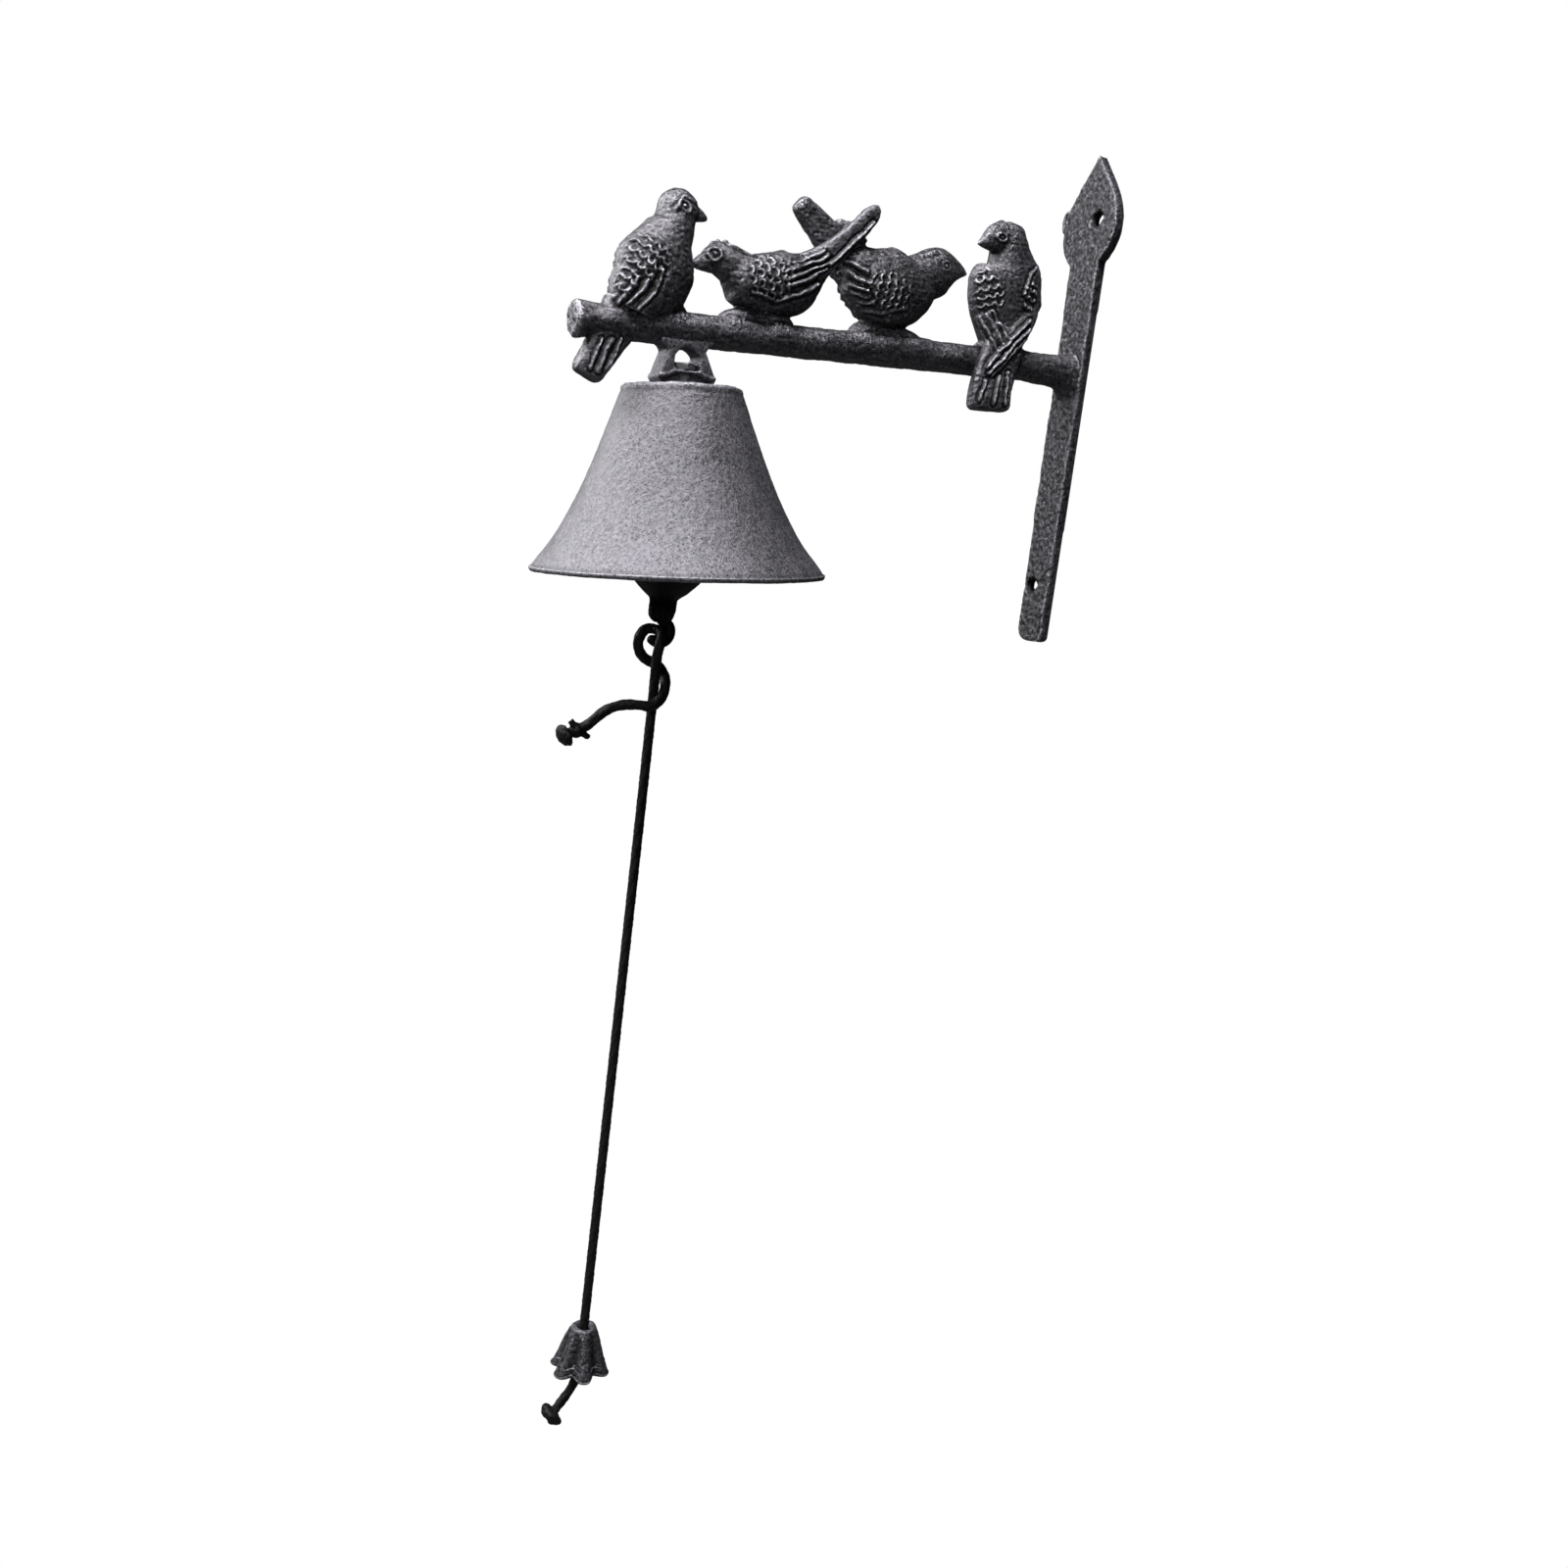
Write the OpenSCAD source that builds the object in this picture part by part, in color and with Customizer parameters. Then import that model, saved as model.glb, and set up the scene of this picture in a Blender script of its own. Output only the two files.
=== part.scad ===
// Wall bell: four cast birds on a branch bracket, a flared bell below it, and a
// clapper that is rung with a weighted cord.  Millimetres, +Z up, wall at x = 0.
// The branch runs out along -X and droops, so the bell bolted under it leans too.

/* [Wall plate] */
// Width of the plate's bar
plate_w = 15.5; // [12:0.5:18]
// Thickness of the plate
plate_t = 4.5; // [4:0.5:6]
// Height of each screw hole above or below the origin
hole_z = 74.5; // [72:0.5:76]
// Diameter of the screw holes
hole_d = 6.4; // [5.6:0.2:6.6]
// Lean of the countersinks, which are ground from the left
sink_lean = 25; // [20:1:30]
// Sideways place of the upper screw hole
upper_hole_y = -4.5; // [-5:0.5:0]
// Sideways place of the lower screw hole
lower_hole_y = 2.5; // [0:0.5:2.5]
// Lowest point of the bar, below the origin
bar_bottom = 98; // [90:1:100]
// Height of the leaf's tip
leaf_top = 100; // [96:1:104]
// Height of the leaf's foot, where it grows out of the bar
leaf_foot = 52.5; // [50:0.5:60]
// Width of the leaf
leaf_w = 32; // [28:1:34]

/* [Branch] */
// Diameter of the branch
branch_d = 11.5; // [10:0.5:13]
// Length of the branch from the plate's front
branch_len = 218; // [212:1:230]
// Droop of the branch's free end, in degrees
droop = 5.7; // [3:0.1:7]
// Height of the branch's axis at the plate's front
branch_z = 14.6; // [10:0.2:20]

/* [Lug] */
// Distance of the lug and bell from the plate, along the branch
bell_out = 176.5; // [170:0.5:180]
// Thickness of the lug, front to back
lug_t = 9.4; // [8.4:0.2:11]
// Width of the lug where it leaves the branch
lug_top_w = 14.5; // [14.5:0.5:20]
// Width of the lug where it meets the bell
lug_foot_w = 23; // [21:0.5:30]
// Width of the window for the nut
window_w = 9.6; // [9.5:0.1:11]

/* [Bell] */
// Distance from the branch's axis down to the bell's top
bell_drop = 19.6; // [19:0.1:21]
// Height of the bell
bell_h = 66.4; // [64:0.2:70]
// Radius of the bell's top
crown_r = 21.2; // [20:0.2:23]
// Radius of the mouth
mouth_r = 54; // [53:0.5:56]
// Share of the bell's widening that is a straight cone
cone_share = 0.75; // [0.7:0.01:0.8]
// How late the bell's lower wall flares out
flare_power = 3.8; // [3:0.1:5]
// Thickness of the bell's wall
wall_t = 3; // [2.4:0.2:3.2]
// Thickness of the bell's crown
crown_t = 4; // [3.6:0.2:4.4]

/* [Hanging gear] */
// Diameter of the eye bolt
bolt_d = 5; // [4.6:0.1:5]
// Distance from the branch's axis down to the middle of the bolt's eye
eye_drop = 39.3; // [39:0.1:41]
// Radius of the eye, to the middle of its wire
eye_r = 5; // [4.8:0.1:5.4]
// Thickness of the eye's wire
eye_wire = 4; // [3.6:0.1:4]
// Thickness of the link's wire
link_wire = 3; // [2.6:0.1:3]
// Length of the link, from wire middle to wire middle
link_len = 12; // [11.6:0.1:12.6]

/* [Clapper] */
// Greatest radius of the clapper's bob
bob_r = 13.5; // [12:0.5:14]
// Radius of the clapper's neck
neck_r = 5; // [4:0.2:5]
// Thickness of the cord hook's wire
hook_wire = 3.8; // [3:0.1:3.8]
// Radius of the cord hook, to the middle of its wire
hook_r = 4.05; // [4.05:0.05:4.3]

/* [Cord and weight] */
// Diameter of the cord
cord_d = 3.6; // [3:0.2:3.6]
// Radius of the weight's top
weight_top_r = 4.8; // [4.6:0.1:5.2]
// Radius of the weight's lobes at the bottom
weight_foot_r = 12; // [11:0.5:13]
// Height of the weight
weight_h = 18; // [17:0.5:20]
// Number of lobes round the weight
lobes = 6; // [5:1:8]
// Diameter of the cord's hole through the weight
weight_hole_d = 5.4; // [5:0.1:5.8]

/* [Hidden] */
$fn = 64;
branch_r = branch_d / 2;
iron = "#34333a";
old_iron = "#2b2a30";
black_cord = "#151516";
weld = 0.05; // how far the cast figures sink into the branch
steps = 24; // points along a curved outline

// Leaf: half width at a height, from 0 at the foot to 1 at the tip
leaf_peak = 0.74;
leaf_from = 0.06;
leaf_side = [for (i = [0:steps - 1]) leaf_from + (1 - leaf_from) * i / steps];
function leaf_half(t) = leaf_w / 2 * sin(180 * pow(t, leaf_peak));
function leaf_z(t) = leaf_foot + (leaf_top - leaf_foot) * t;
left_corner = 6; // rounding of the bar's two bottom corners
right_corner = 2.5;
sink_tip = 3; // depth of the countersink cone's tip below the plate's front
sink_half = 38; // half angle of the countersink cone

// Lug and clamp stack, measured down from the branch's axis
lug_chamfer = 2.5;
lug_fillet = 3; // spread of the lug where it meets the branch
window_top = 6.4;
window_floor = 14.4;
nut_h = 4;
window_nut_h = 2.8;
nut_flats = 8;
washer_t = 1;
washer_r = 5.5;
bolt_top = window_floor - window_nut_h;
bolt_hole_d = bolt_d + 0.5;
shoulder_r = 3;
rim_r = 1.4;

// Bell: outer radius at a depth below its top
flare = mouth_r - crown_r;
function bell_r(h) = crown_r + flare * (cone_share * h / bell_h + (1 - cone_share) * pow(h / bell_h, flare_power));

// Hanging gear: world place of the eye, the link's two ends and the clapper's top wire
eye_x = -plate_t - bell_out * cos(droop) + eye_drop * sin(droop);
eye_z = branch_z - bell_out * sin(droop) - eye_drop * cos(droop);
wire_gap = 0.1;
link_r = link_wire / 2;
link_in = 3; // radius inside the link's round ends
link_top_z = eye_z - (eye_r - eye_wire / 2 - link_r - wire_gap);
clapper_wire = 3;
clapper_ring_r = 4;
clapper_z = link_top_z - link_len + link_r + clapper_wire / 2 + wire_gap;
ring_z = clapper_z - clapper_ring_r;

// Clapper: depths below the clapper's top wire
bob_top = 20;
bob_wide = 36;
bob_cone = 4.3;
neck_top = 44;
neck_foot = 51.2;
shank_r = 2;
shank_in = 8; // how far the eye's shank goes into the bob
hook_z = clapper_z - 57.2;
hook_end = 145; // degrees the hook's wire goes round, down from its outer side to its tip

// Cord: the path of its middle line, from the short tail's end to the weight's end
cord_x = -176;
weight_z = -384.1;
cord_route = [
    [-207.2, 0, -148.6], [-204.2, 0, -147.4], [-201, 0, -145.7], [-197.9, 0, -143],
    [-194.9, 0, -140.3], [-191.5, -0.6, -138.3], [-187.5, -1.8, -137], [-183, -3.6, -136.6],
    [-178.8, -4.8, -136.6], [-175.5, -4.3, -134.4], [-173.1, -2.6, -131.2], [-172, -0.4, -127.8],
    [-172, 2, -124.9], [-173.5, 4, -122.4], [-176, 4.8, -121.3], [-178.8, 5, -120.1],
    [-181.1, 5, -117.8], [-182.1, 5, -114.7], [-181.4, 5, -111.6], [-179.6, 4.9, -109.4],
    [-177.6, 3.3, -108.9], [-176.2, 0, -109.5], [-176.6, -3.2, -111], [-177.8, -4.5, -114.6],
    [-178, -3.7, -119], [-177.2, -2.1, -124.5], [-176.5, -0.8, -131], [-176.1, 0, -140],
    [cord_x, 0, -180], [cord_x, 0, -250], [cord_x, 0, -320], [cord_x, 0, -385],
    [cord_x, 0, -392], [cord_x, 0, -399], [-176.3, 0, -405], [-178, 0, -410],
    [-181, 0, -414.2], [-184.6, 0, -418.4]];
cord_sides = 8;
cord_step = 2.2; // spacing of the rings in the hitch
cord_long_step = 12; // spacing of the rings along the straight fall

// Smooth curve through a list of points
function spline(p, i, t) = let (
    a = p[max(i - 1, 0)], b = p[i], c = p[i + 1], d = p[min(i + 2, len(p) - 1)])
    0.5 * (2 * b + (c - a) * t + (2 * a - 5 * b + 4 * c - d) * t * t + (3 * b - a - 3 * c + d) * t * t * t);
function span_rings(p, i) = let (l = norm(p[i + 1] - p[i])) max(1, round(l / (l > 20 ? cord_long_step : cord_step)));
function smooth(p) = concat(
    [for (i = [0:len(p) - 2]) let (n = span_rings(p, i)) for (k = [0:n - 1]) spline(p, i, k / n)],
    [p[len(p) - 1]]);
function unit(v) = v / norm(v);
function heading(p, i) = unit(p[min(i + 1, len(p) - 1)] - p[max(i - 1, 0)]);
// The ring's first direction, carried from each ring to the next so that the tube doesn't twist
function carried(v, t) = unit(v - (v * t) * t);
function frames(p, i, v) = let (w = carried(v, heading(p, i)))
    i == len(p) - 1 ? [w] : concat([w], frames(p, i + 1, w));

module tube(route, r, sides) {
    path = smooth(route);
    side_dirs = frames(path, 0, [0, 1, 0.01]);
    n = len(path);
    points = [for (i = [0:n - 1]) let (t = heading(path, i), u = side_dirs[i], v = cross(t, u))
        for (k = [0:sides - 1]) path[i] + r * (cos(360 * k / sides) * u + sin(360 * k / sides) * v)];
    walls = [for (i = [0:n - 2]) for (k = [0:sides - 1]) let (j = (k + 1) % sides)
        [i * sides + k, i * sides + j, (i + 1) * sides + j, (i + 1) * sides + k]];
    caps = [[for (k = [sides - 1:-1:0]) k], [for (k = [0:sides - 1]) (n - 1) * sides + k]];
    polyhedron(points = points, faces = [for (f = concat(walls, caps)) [for (k = [len(f) - 1:-1:0]) f[k]]]);
}

// Children in the branch's own frame: x along it (0 at the plate, out is negative), z up from its axis
module on_branch() {
    translate([-plate_t, 0, branch_z]) rotate([0, -droop, 0]) children();
}

// A closed rounded shape round a row of balls, each [x, y, z, radius], flattened front to back
module flesh(balls, flat = 0.75) {
    hull() for (b = balls) translate([b[0], b[1], b[2]]) scale([1, flat, 1]) sphere(b[3], $fn = 14);
}

// A figure cast onto the branch, cut to sit round it
module on_perch() {
    difference() {
        children();
        translate([-branch_len - 20, 0, 0]) rotate([0, 90, 0])
            cylinder(r = branch_r - weld, h = branch_len + 20, $fn = 48);
    }
}

module ring_wire(r, wire) {
    rotate([90, 0, 0]) rotate_extrude() translate([r, 0]) circle(d = wire, $fn = 32);
}

// One edge of the plate, from the leaf's tip down to the bottom of the bar, with its corner's rounding
function plate_side(round_r) = let (half = plate_w / 2, corner = [half - round_r, round_r - bar_bottom])
    concat([for (i = [steps - 1:-1:0]) if (leaf_half(leaf_side[i]) > half) [leaf_half(leaf_side[i]), leaf_z(leaf_side[i])]],
           [for (a = [0:15:90]) corner + round_r * [cos(a), -sin(a)]]);

module plate_outline() {
    left = plate_side(left_corner);
    polygon(concat([[0, leaf_top]], plate_side(right_corner),
                   [for (i = [len(left) - 1:-1:0]) [-left[i][0], left[i][1]]]));
}

module screw_hole(y, z) {
    translate([0, y, z]) rotate([0, -90, 0]) translate([0, 0, -1]) cylinder(d = hole_d, h = plate_t + 2);
    reach = 2 * plate_t;
    translate([sink_tip - plate_t, y, z]) rotate([0, 0, -sink_lean]) rotate([0, -90, 0])
        cylinder(r1 = 0, r2 = reach * tan(sink_half), h = reach);
}

module wall_plate() {
    color(iron) difference() {
        rotate([90, 0, -90]) linear_extrude(plate_t) plate_outline();
        screw_hole(upper_hole_y, hole_z);
        screw_hole(lower_hole_y, -hole_z);
    }
}

module branch() {
    knob = 7;
    root = 12;
    root_r = 7.4;
    color(iron) difference() {
        on_branch() {
            translate([2, 0, 0]) rotate([0, -90, 0]) cylinder(r = branch_r, h = branch_len + 2);
            translate([2, 0, 0]) rotate([0, -90, 0]) cylinder(r1 = root_r, r2 = branch_r, h = root + 2);
            translate([-branch_len, 0, 0]) rotate([0, 90, 0]) cylinder(r1 = branch_r + 0.7, r2 = branch_r, h = knob);
        }
        translate([-plate_t, -20, -20]) cube([40, 40, 80]);
    }
}

module upright_bird() {
    color(iron) on_branch() on_perch() {
        flesh([[-190.5, 0, 17, 13.5], [-184, 0, 27, 11], [-198, 0, 9, 7.5], [-183, 0, 14, 8.5]]);
        flesh([[-183.6, 0, 28, 10.4], [-179.6, 0, 39.6, 7.1]]);
        flesh([[-176, 0, 39, 3], [-169.2, 0, 38.2, 0.8]], 0.9);
        flesh([[-198, 0, 6, 7], [-205, 0, -6, 5], [-209.5, 0, -15, 5]], 0.5);
        flesh([[-184, 0, 4, 4.5], [-178, 0, 3, 3.6]], 1);
    }
}

module small_bird() {
    color(iron) on_branch() on_perch() {
        flesh([[-147, 0, 18.5, 11.5], [-134, 0, 19.5, 10.5], [-156.5, 0, 21, 6.8]]);
        flesh([[-156, 0, 21, 7], [-162.3, 0, 25, 6], [-149, 0, 23.4, 6.5]]);
        flesh([[-166, 0, 24, 2.6], [-171.4, 0, 22.8, 0.8]], 0.9);
        flesh([[-134, -2, 22, 8.5], [-122, -4, 28, 4], [-107, -5, 40, 3], [-101, -5, 46.6, 2.6]], 0.6);
        flesh([[-156, 0, 5, 4.4], [-150, 0, 4, 4]], 1);
        flesh([[-138, 0, 5, 4.4], [-132, 0, 3.6, 3.8]], 1);
    }
}

module crossing_bird() {
    color(iron) on_branch() on_perch() {
        flesh([[-91, 0, 22.5, 14.5], [-78, 0, 25, 10.5], [-102, 0, 26, 11.5]]);
        flesh([[-78, 0, 25, 10], [-69, 0, 33.4, 7.6]]);
        flesh([[-66, 0, 33.4, 5], [-55.8, 0, 31.8, 0.8]], 0.9);
        flesh([[-104, 3, 29, 8], [-114, 3, 38, 4.5], [-126.5, 3, 46, 4.2]], 0.6);
        flesh([[-101, 0, 5, 4.8], [-96, 0, 4, 4], [-97, 0, 13, 4]], 1);
        flesh([[-87, 0, 5, 5], [-80, 0, 3.6, 4.2]], 1);
    }
}

module turned_bird() {
    color(iron) on_branch() on_perch() {
        flesh([[-36, -1, 29, 16], [-34, -1, 36, 13], [-37, -1, 14, 11.5]]);
        flesh([[-35, -1, 36, 11], [-35.6, -1, 45.2, 8.8]]);
        flesh([[-41, -1, 45, 4], [-49.6, -1, 44.4, 0.8]], 0.9);
        flesh([[-40, -8, 14, 7], [-41, -8.6, 2, 7.5], [-52.5, -8.4, -15, 3.6], [-38.5, -8.4, -15, 3.6]], 0.35);
        flesh([[-45, 1, 5, 4], [-41, 1, 4, 4]], 1);
        flesh([[-33, 1, 5, 4], [-29, 1, 4, 4]], 1);
    }
}

module lug_outline() {
    top = lug_top_w / 2;
    foot = lug_foot_w / 2;
    side = [[top + lug_fillet, 0], [top + lug_fillet, 0.6 - branch_r], [top + lug_fillet / 3, -0.6 - branch_r],
            [top, -2 - branch_r], [foot, lug_chamfer - bell_drop], [foot - 1.5, -bell_drop]];
    polygon(concat(side, [for (i = [len(side) - 1:-1:0]) [-side[i][0], side[i][1]]]));
}

module bell_lug() {
    window_r = window_w / 2;
    color(iron) on_branch() difference() {
        translate([-bell_out, lug_t / 2, 0]) rotate([90, 0, 0]) linear_extrude(lug_t) lug_outline();
        translate([-branch_len, 0, 0]) rotate([0, 90, 0]) cylinder(r = branch_r, h = branch_len);
        translate([-bell_out, lug_t, 0]) rotate([90, 0, 0]) linear_extrude(2 * lug_t) {
            translate([-window_r, -window_floor])
                square([window_w, window_floor - window_top - window_r / 2]);
            intersection() {
                translate([0, -window_top - window_r]) circle(window_r);
                translate([-window_r, -window_floor]) square([window_w, window_floor - window_top]);
            }
        }
        translate([-bell_out, 0, -bell_drop - 1]) cylinder(d = bolt_hole_d, h = bell_drop - window_floor + 2);
    }
}

module eye_bolt() {
    color(old_iron) on_branch() translate([-bell_out, 0, 0]) {
        difference() {
            translate([0, 0, -eye_drop + eye_r]) cylinder(d = bolt_d, h = eye_drop - eye_r - bolt_top);
            translate([0, 0, -eye_drop]) rotate([90, 0, 0]) cylinder(r = eye_r, h = 2 * bolt_d, center = true);
        }
        translate([0, 0, -eye_drop]) ring_wire(eye_r, eye_wire);
    }
}

module hex_nut(h) {
    difference() {
        cylinder(r = nut_flats / sqrt(3), h = h, $fn = 6);
        translate([0, 0, -1]) cylinder(d = bolt_d, h = h + 2);
    }
}

module window_nut() {
    color(old_iron) on_branch() translate([-bell_out, 0, -window_floor]) hex_nut(window_nut_h);
}

module bell_washer() {
    under = bell_drop + crown_t + washer_t;
    color(old_iron) on_branch() translate([-bell_out, 0, -under]) difference() {
        cylinder(r = washer_r, h = washer_t);
        translate([0, 0, -1]) cylinder(d = bolt_hole_d, h = washer_t + 2);
    }
}

module bell_nut() {
    under = bell_drop + crown_t + washer_t + nut_h;
    color(old_iron) on_branch() translate([-bell_out, 0, -under]) hex_nut(nut_h);
}

module bell_outline() {
    shoulder_at = [bell_r(shoulder_r) - shoulder_r, -shoulder_r];
    shoulder = [for (a = [90:-18:0]) shoulder_at + shoulder_r * [cos(a), sin(a)]];
    rim_at = [mouth_r - rim_r, rim_r - bell_h];
    rim = [for (a = [0:-30:-180]) rim_at + rim_r * [cos(a), sin(a)]];
    outside = [for (i = [2:steps - 1]) let (h = bell_h * i / steps) [bell_r(h), -h]];
    inside = [for (i = [steps - 1:-1:2]) let (h = bell_h * i / steps) [bell_r(h) - wall_t, -h]];
    polygon(concat([[0, 0]], shoulder, outside, rim, inside,
                   [[bell_r(crown_t) - wall_t - 1, -crown_t], [0, -crown_t]]));
}

module bell_shell() {
    color(iron) on_branch() translate([-bell_out, 0, -bell_drop]) difference() {
        rotate_extrude($fn = 96) bell_outline();
        translate([0, 0, -crown_t - 1]) cylinder(d = bolt_hole_d, h = crown_t + 2);
    }
}

// Closed oval link, standing across the eye
module clapper_link() {
    bend = link_in + link_r;
    straight = link_len - 2 * bend;
    color(old_iron) translate([eye_x, 0, link_top_z - bend]) rotate([0, 0, 90]) {
        for (end = [0, 1]) translate([0, 0, -straight * end]) rotate([90, 180 * end, 0])
            rotate_extrude(angle = 180) translate([bend, 0]) circle(r = link_r, $fn = 32);
        for (side = [-1, 1]) translate([bend * side, 0, -straight]) cylinder(r = link_r, h = straight, $fn = 32);
    }
}

module clapper_eye() {
    shank_len = ring_z - clapper_ring_r - (clapper_z - bob_top - shank_in);
    color(old_iron) translate([eye_x, 0, 0]) {
        translate([0, 0, ring_z]) ring_wire(clapper_ring_r, clapper_wire);
        translate([0, 0, clapper_z - bob_top - shank_in]) cylinder(r = shank_r, h = shank_len);
    }
}

module clapper_bob() {
    mid = bob_wide - 3;
    color(old_iron) translate([eye_x, 0, clapper_z]) difference() {
        rotate_extrude() polygon([
            [0, -bob_top], [3, -bob_top], [5, -bob_top - 2], [9.5, -bob_top - 8], [bob_r - 0.8, 1 - mid],
            [bob_r, -mid], [bob_r, -bob_wide], [bob_r - 0.8, -bob_wide - 1.4],
            [neck_r + 0.5, -neck_top], [neck_r, -neck_top - 1.5],
            [neck_r, -neck_foot + 1.5], [neck_r - 1.5, -neck_foot], [0, -neck_foot]]);
        translate([0, 0, -bob_top - shank_in]) cylinder(r = shank_r, h = shank_in + 1);
    }
}

module cord_hook() {
    top = hook_r;
    color(old_iron) translate([eye_x, 0, hook_z]) {
        rotate([90, 0, 0]) rotate([0, 0, -90 - hook_end + 90]) rotate_extrude(angle = hook_end + 90)
            translate([hook_r, 0]) circle(d = hook_wire, $fn = 32);
        translate([0, 0, top]) cylinder(d = hook_wire, h = clapper_z - neck_foot - hook_z - top, $fn = 32);
        rotate([0, 90 - hook_end, 0]) translate([0, 0, -hook_r]) sphere(d = hook_wire);
    }
}

module pull_cord() {
    color(black_cord) tube(cord_route, cord_d / 2, cord_sides);
}

// Overhand knot: a tight egg-shaped lump
module knot(r) {
    hull() for (side = [-1, 1]) translate([0, 0, r * 0.35 * side]) sphere(r * 0.85, $fn = 16);
}

// Melted end of the cord, pressed flat like a mushroom
module melted_end(r) {
    rotate_extrude($fn = 20) polygon([[0, 1.2], [2.1, 1.2], [r, -0.8], [r, -2], [r * 0.6, -3.4], [0, -3.8]]);
}

module tail_knot() {
    color(black_cord) translate(cord_route[1]) rotate([0, 66, 0]) knot(3.4);
}

module tail_tip() {
    color(black_cord) translate(cord_route[0]) rotate([0, 58, 0]) melted_end(4.2);
}

module stop_knot() {
    color(black_cord) translate([cord_x, 0, -392.6]) knot(4);
}

module end_tip() {
    color(black_cord) translate(cord_route[len(cord_route) - 1]) rotate([0, 47, 0]) melted_end(5);
}

// One level of the lobed weight: radius at an angle
module lobed(r, depth) {
    polygon([for (a = [0:5:355]) let (s = r - depth * (1 - cos(lobes * (a - 18))) / 2) s * [cos(a), sin(a)]]);
}

module pull_weight() {
    levels = 3;
    flute = 2.6; // depth of the hollows between the lobes at the foot
    rise = weight_h / levels;
    web = 3;
    color(iron) translate([cord_x, 0, weight_z]) difference() {
        for (i = [0:levels - 1]) {
            low = (i + 1) / levels;
            high = i / levels;
            hull() {
                translate([0, 0, -rise * i - 0.01]) linear_extrude(0.01)
                    lobed(weight_top_r + (weight_foot_r - weight_top_r) * high, flute * high);
                translate([0, 0, -rise * (i + 1)]) linear_extrude(0.01)
                    lobed(weight_top_r + (weight_foot_r - weight_top_r) * low, flute * low);
            }
        }
        translate([0, 0, -weight_h]) cylinder(d = weight_hole_d, h = weight_h + 1);
        translate([0, 0, -weight_h - 1]) cylinder(r1 = 8, r2 = 4.4, h = weight_h - web + 1);
    }
}

wall_plate();
branch();
upright_bird();
small_bird();
crossing_bird();
turned_bird();
bell_lug();
eye_bolt();
window_nut();
bell_washer();
bell_nut();
bell_shell();
clapper_link();
clapper_eye();
clapper_bob();
cord_hook();
pull_cord();
tail_knot();
tail_tip();
stop_knot();
end_tip();
pull_weight();
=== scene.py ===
"""Wall bell with four cast birds on a branch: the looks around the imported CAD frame."""
from math import cos, pi, radians, sin

import bpy
import numpy as np
from mathutils import Matrix, Vector


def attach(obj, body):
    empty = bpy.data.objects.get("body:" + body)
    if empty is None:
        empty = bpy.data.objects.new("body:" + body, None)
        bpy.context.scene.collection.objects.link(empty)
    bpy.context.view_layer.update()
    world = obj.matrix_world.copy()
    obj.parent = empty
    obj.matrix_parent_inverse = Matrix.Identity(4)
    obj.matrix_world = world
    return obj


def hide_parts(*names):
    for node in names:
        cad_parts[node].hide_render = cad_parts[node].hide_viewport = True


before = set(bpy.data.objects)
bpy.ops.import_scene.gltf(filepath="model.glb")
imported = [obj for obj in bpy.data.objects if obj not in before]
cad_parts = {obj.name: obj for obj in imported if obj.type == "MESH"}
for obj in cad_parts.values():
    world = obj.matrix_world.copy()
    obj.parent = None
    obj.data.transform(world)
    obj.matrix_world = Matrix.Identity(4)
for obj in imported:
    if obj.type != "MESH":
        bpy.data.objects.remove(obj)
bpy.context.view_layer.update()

MM = 0.001
FINE = 0.5  # voxel of the cast pieces, mm

# Driving sizes, in millimetres, as the CAD model has them
PLATE_T, BRANCH_Z, DROOP = 4.5, 14.6, radians(5.7)
SCREW_HOLES = [(-4.5, 74.5), (2.5, -74.5)]
BRANCH_R, BRANCH_LEN = 5.75, 218
BELL_OUT, BELL_DROP, BELL_H = 176.5, 19.6, 66.4
LUG_T = 9.4
CROWN_R, MOUTH_R, WALL_T, CROWN_T = 21.2, 54, 3, 4
CONE_SHARE, FLARE_POWER = 0.75, 3.8
EYE_DROP = 39.3
CORD_R = 1.8
WEIGHT_Z, WEIGHT_H, WEIGHT_TOP_R, WEIGHT_FOOT_R, LOBES = -384.1, 18, 4.8, 12, 6
WINDOW_NUT, BELL_NUT = (-14.4, -11.6), (-28.6, -24.6)  # foot and top of each nut, in the branch's frame
NUT_FLATS = 8
CORD_X = -176

# The cord's middle line, from the short tail's end to the weight's end,
# within a millimetre of the CAD model's
CORD_ROUTE = [
    (-207.9, 0, -149.2), (-204.4, 0, -147.5), (-201, 0, -145.7), (-197.9, 0, -143),
    (-194.9, 0, -140.3), (-191.5, -0.6, -138.3), (-187.5, -1.8, -137), (-183, -3.6, -136.6),
    (-178.8, -4.8, -136.6), (-175.5, -4.3, -134.4), (-173.1, -2.6, -131.2), (-172, -0.4, -127.8),
    (-172, 2, -124.9), (-173.5, 4, -122.4), (-176, 4.8, -121.3), (-178.8, 5, -120.1),
    (-181.1, 5, -117.8), (-182.1, 5, -114.7), (-181.4, 5, -111.6), (-179.6, 4.9, -109.4),
    (-177.6, 3.3, -108.9), (-176.2, 0, -109.5), (-176.6, -3.2, -111), (-177.8, -4.5, -114.6),
    (-178, -3.7, -119), (-177.2, -2.1, -124.5), (-176.5, -0.8, -131), (-176.1, 0, -140),
    (CORD_X, 0, -180), (CORD_X, 0, -250), (CORD_X, 0, -320), (CORD_X, 0, -385),
    (CORD_X, 0, -392), (CORD_X, 0, -399), (-176.8, 0, -405), (-178.7, 0, -410),
    (-181.7, 0, -414.4), (-185.2, 0, -418.9)]


# ---------------------------------------------------------------- numbers and noise

def smoothstep(low, high, x):
    t = np.clip((x - low) / (high - low), 0, 1)
    return t * t * (3 - 2 * t)


def unit(v):
    return v / np.maximum(np.linalg.norm(v, axis=-1, keepdims=True), 1e-9)


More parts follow.
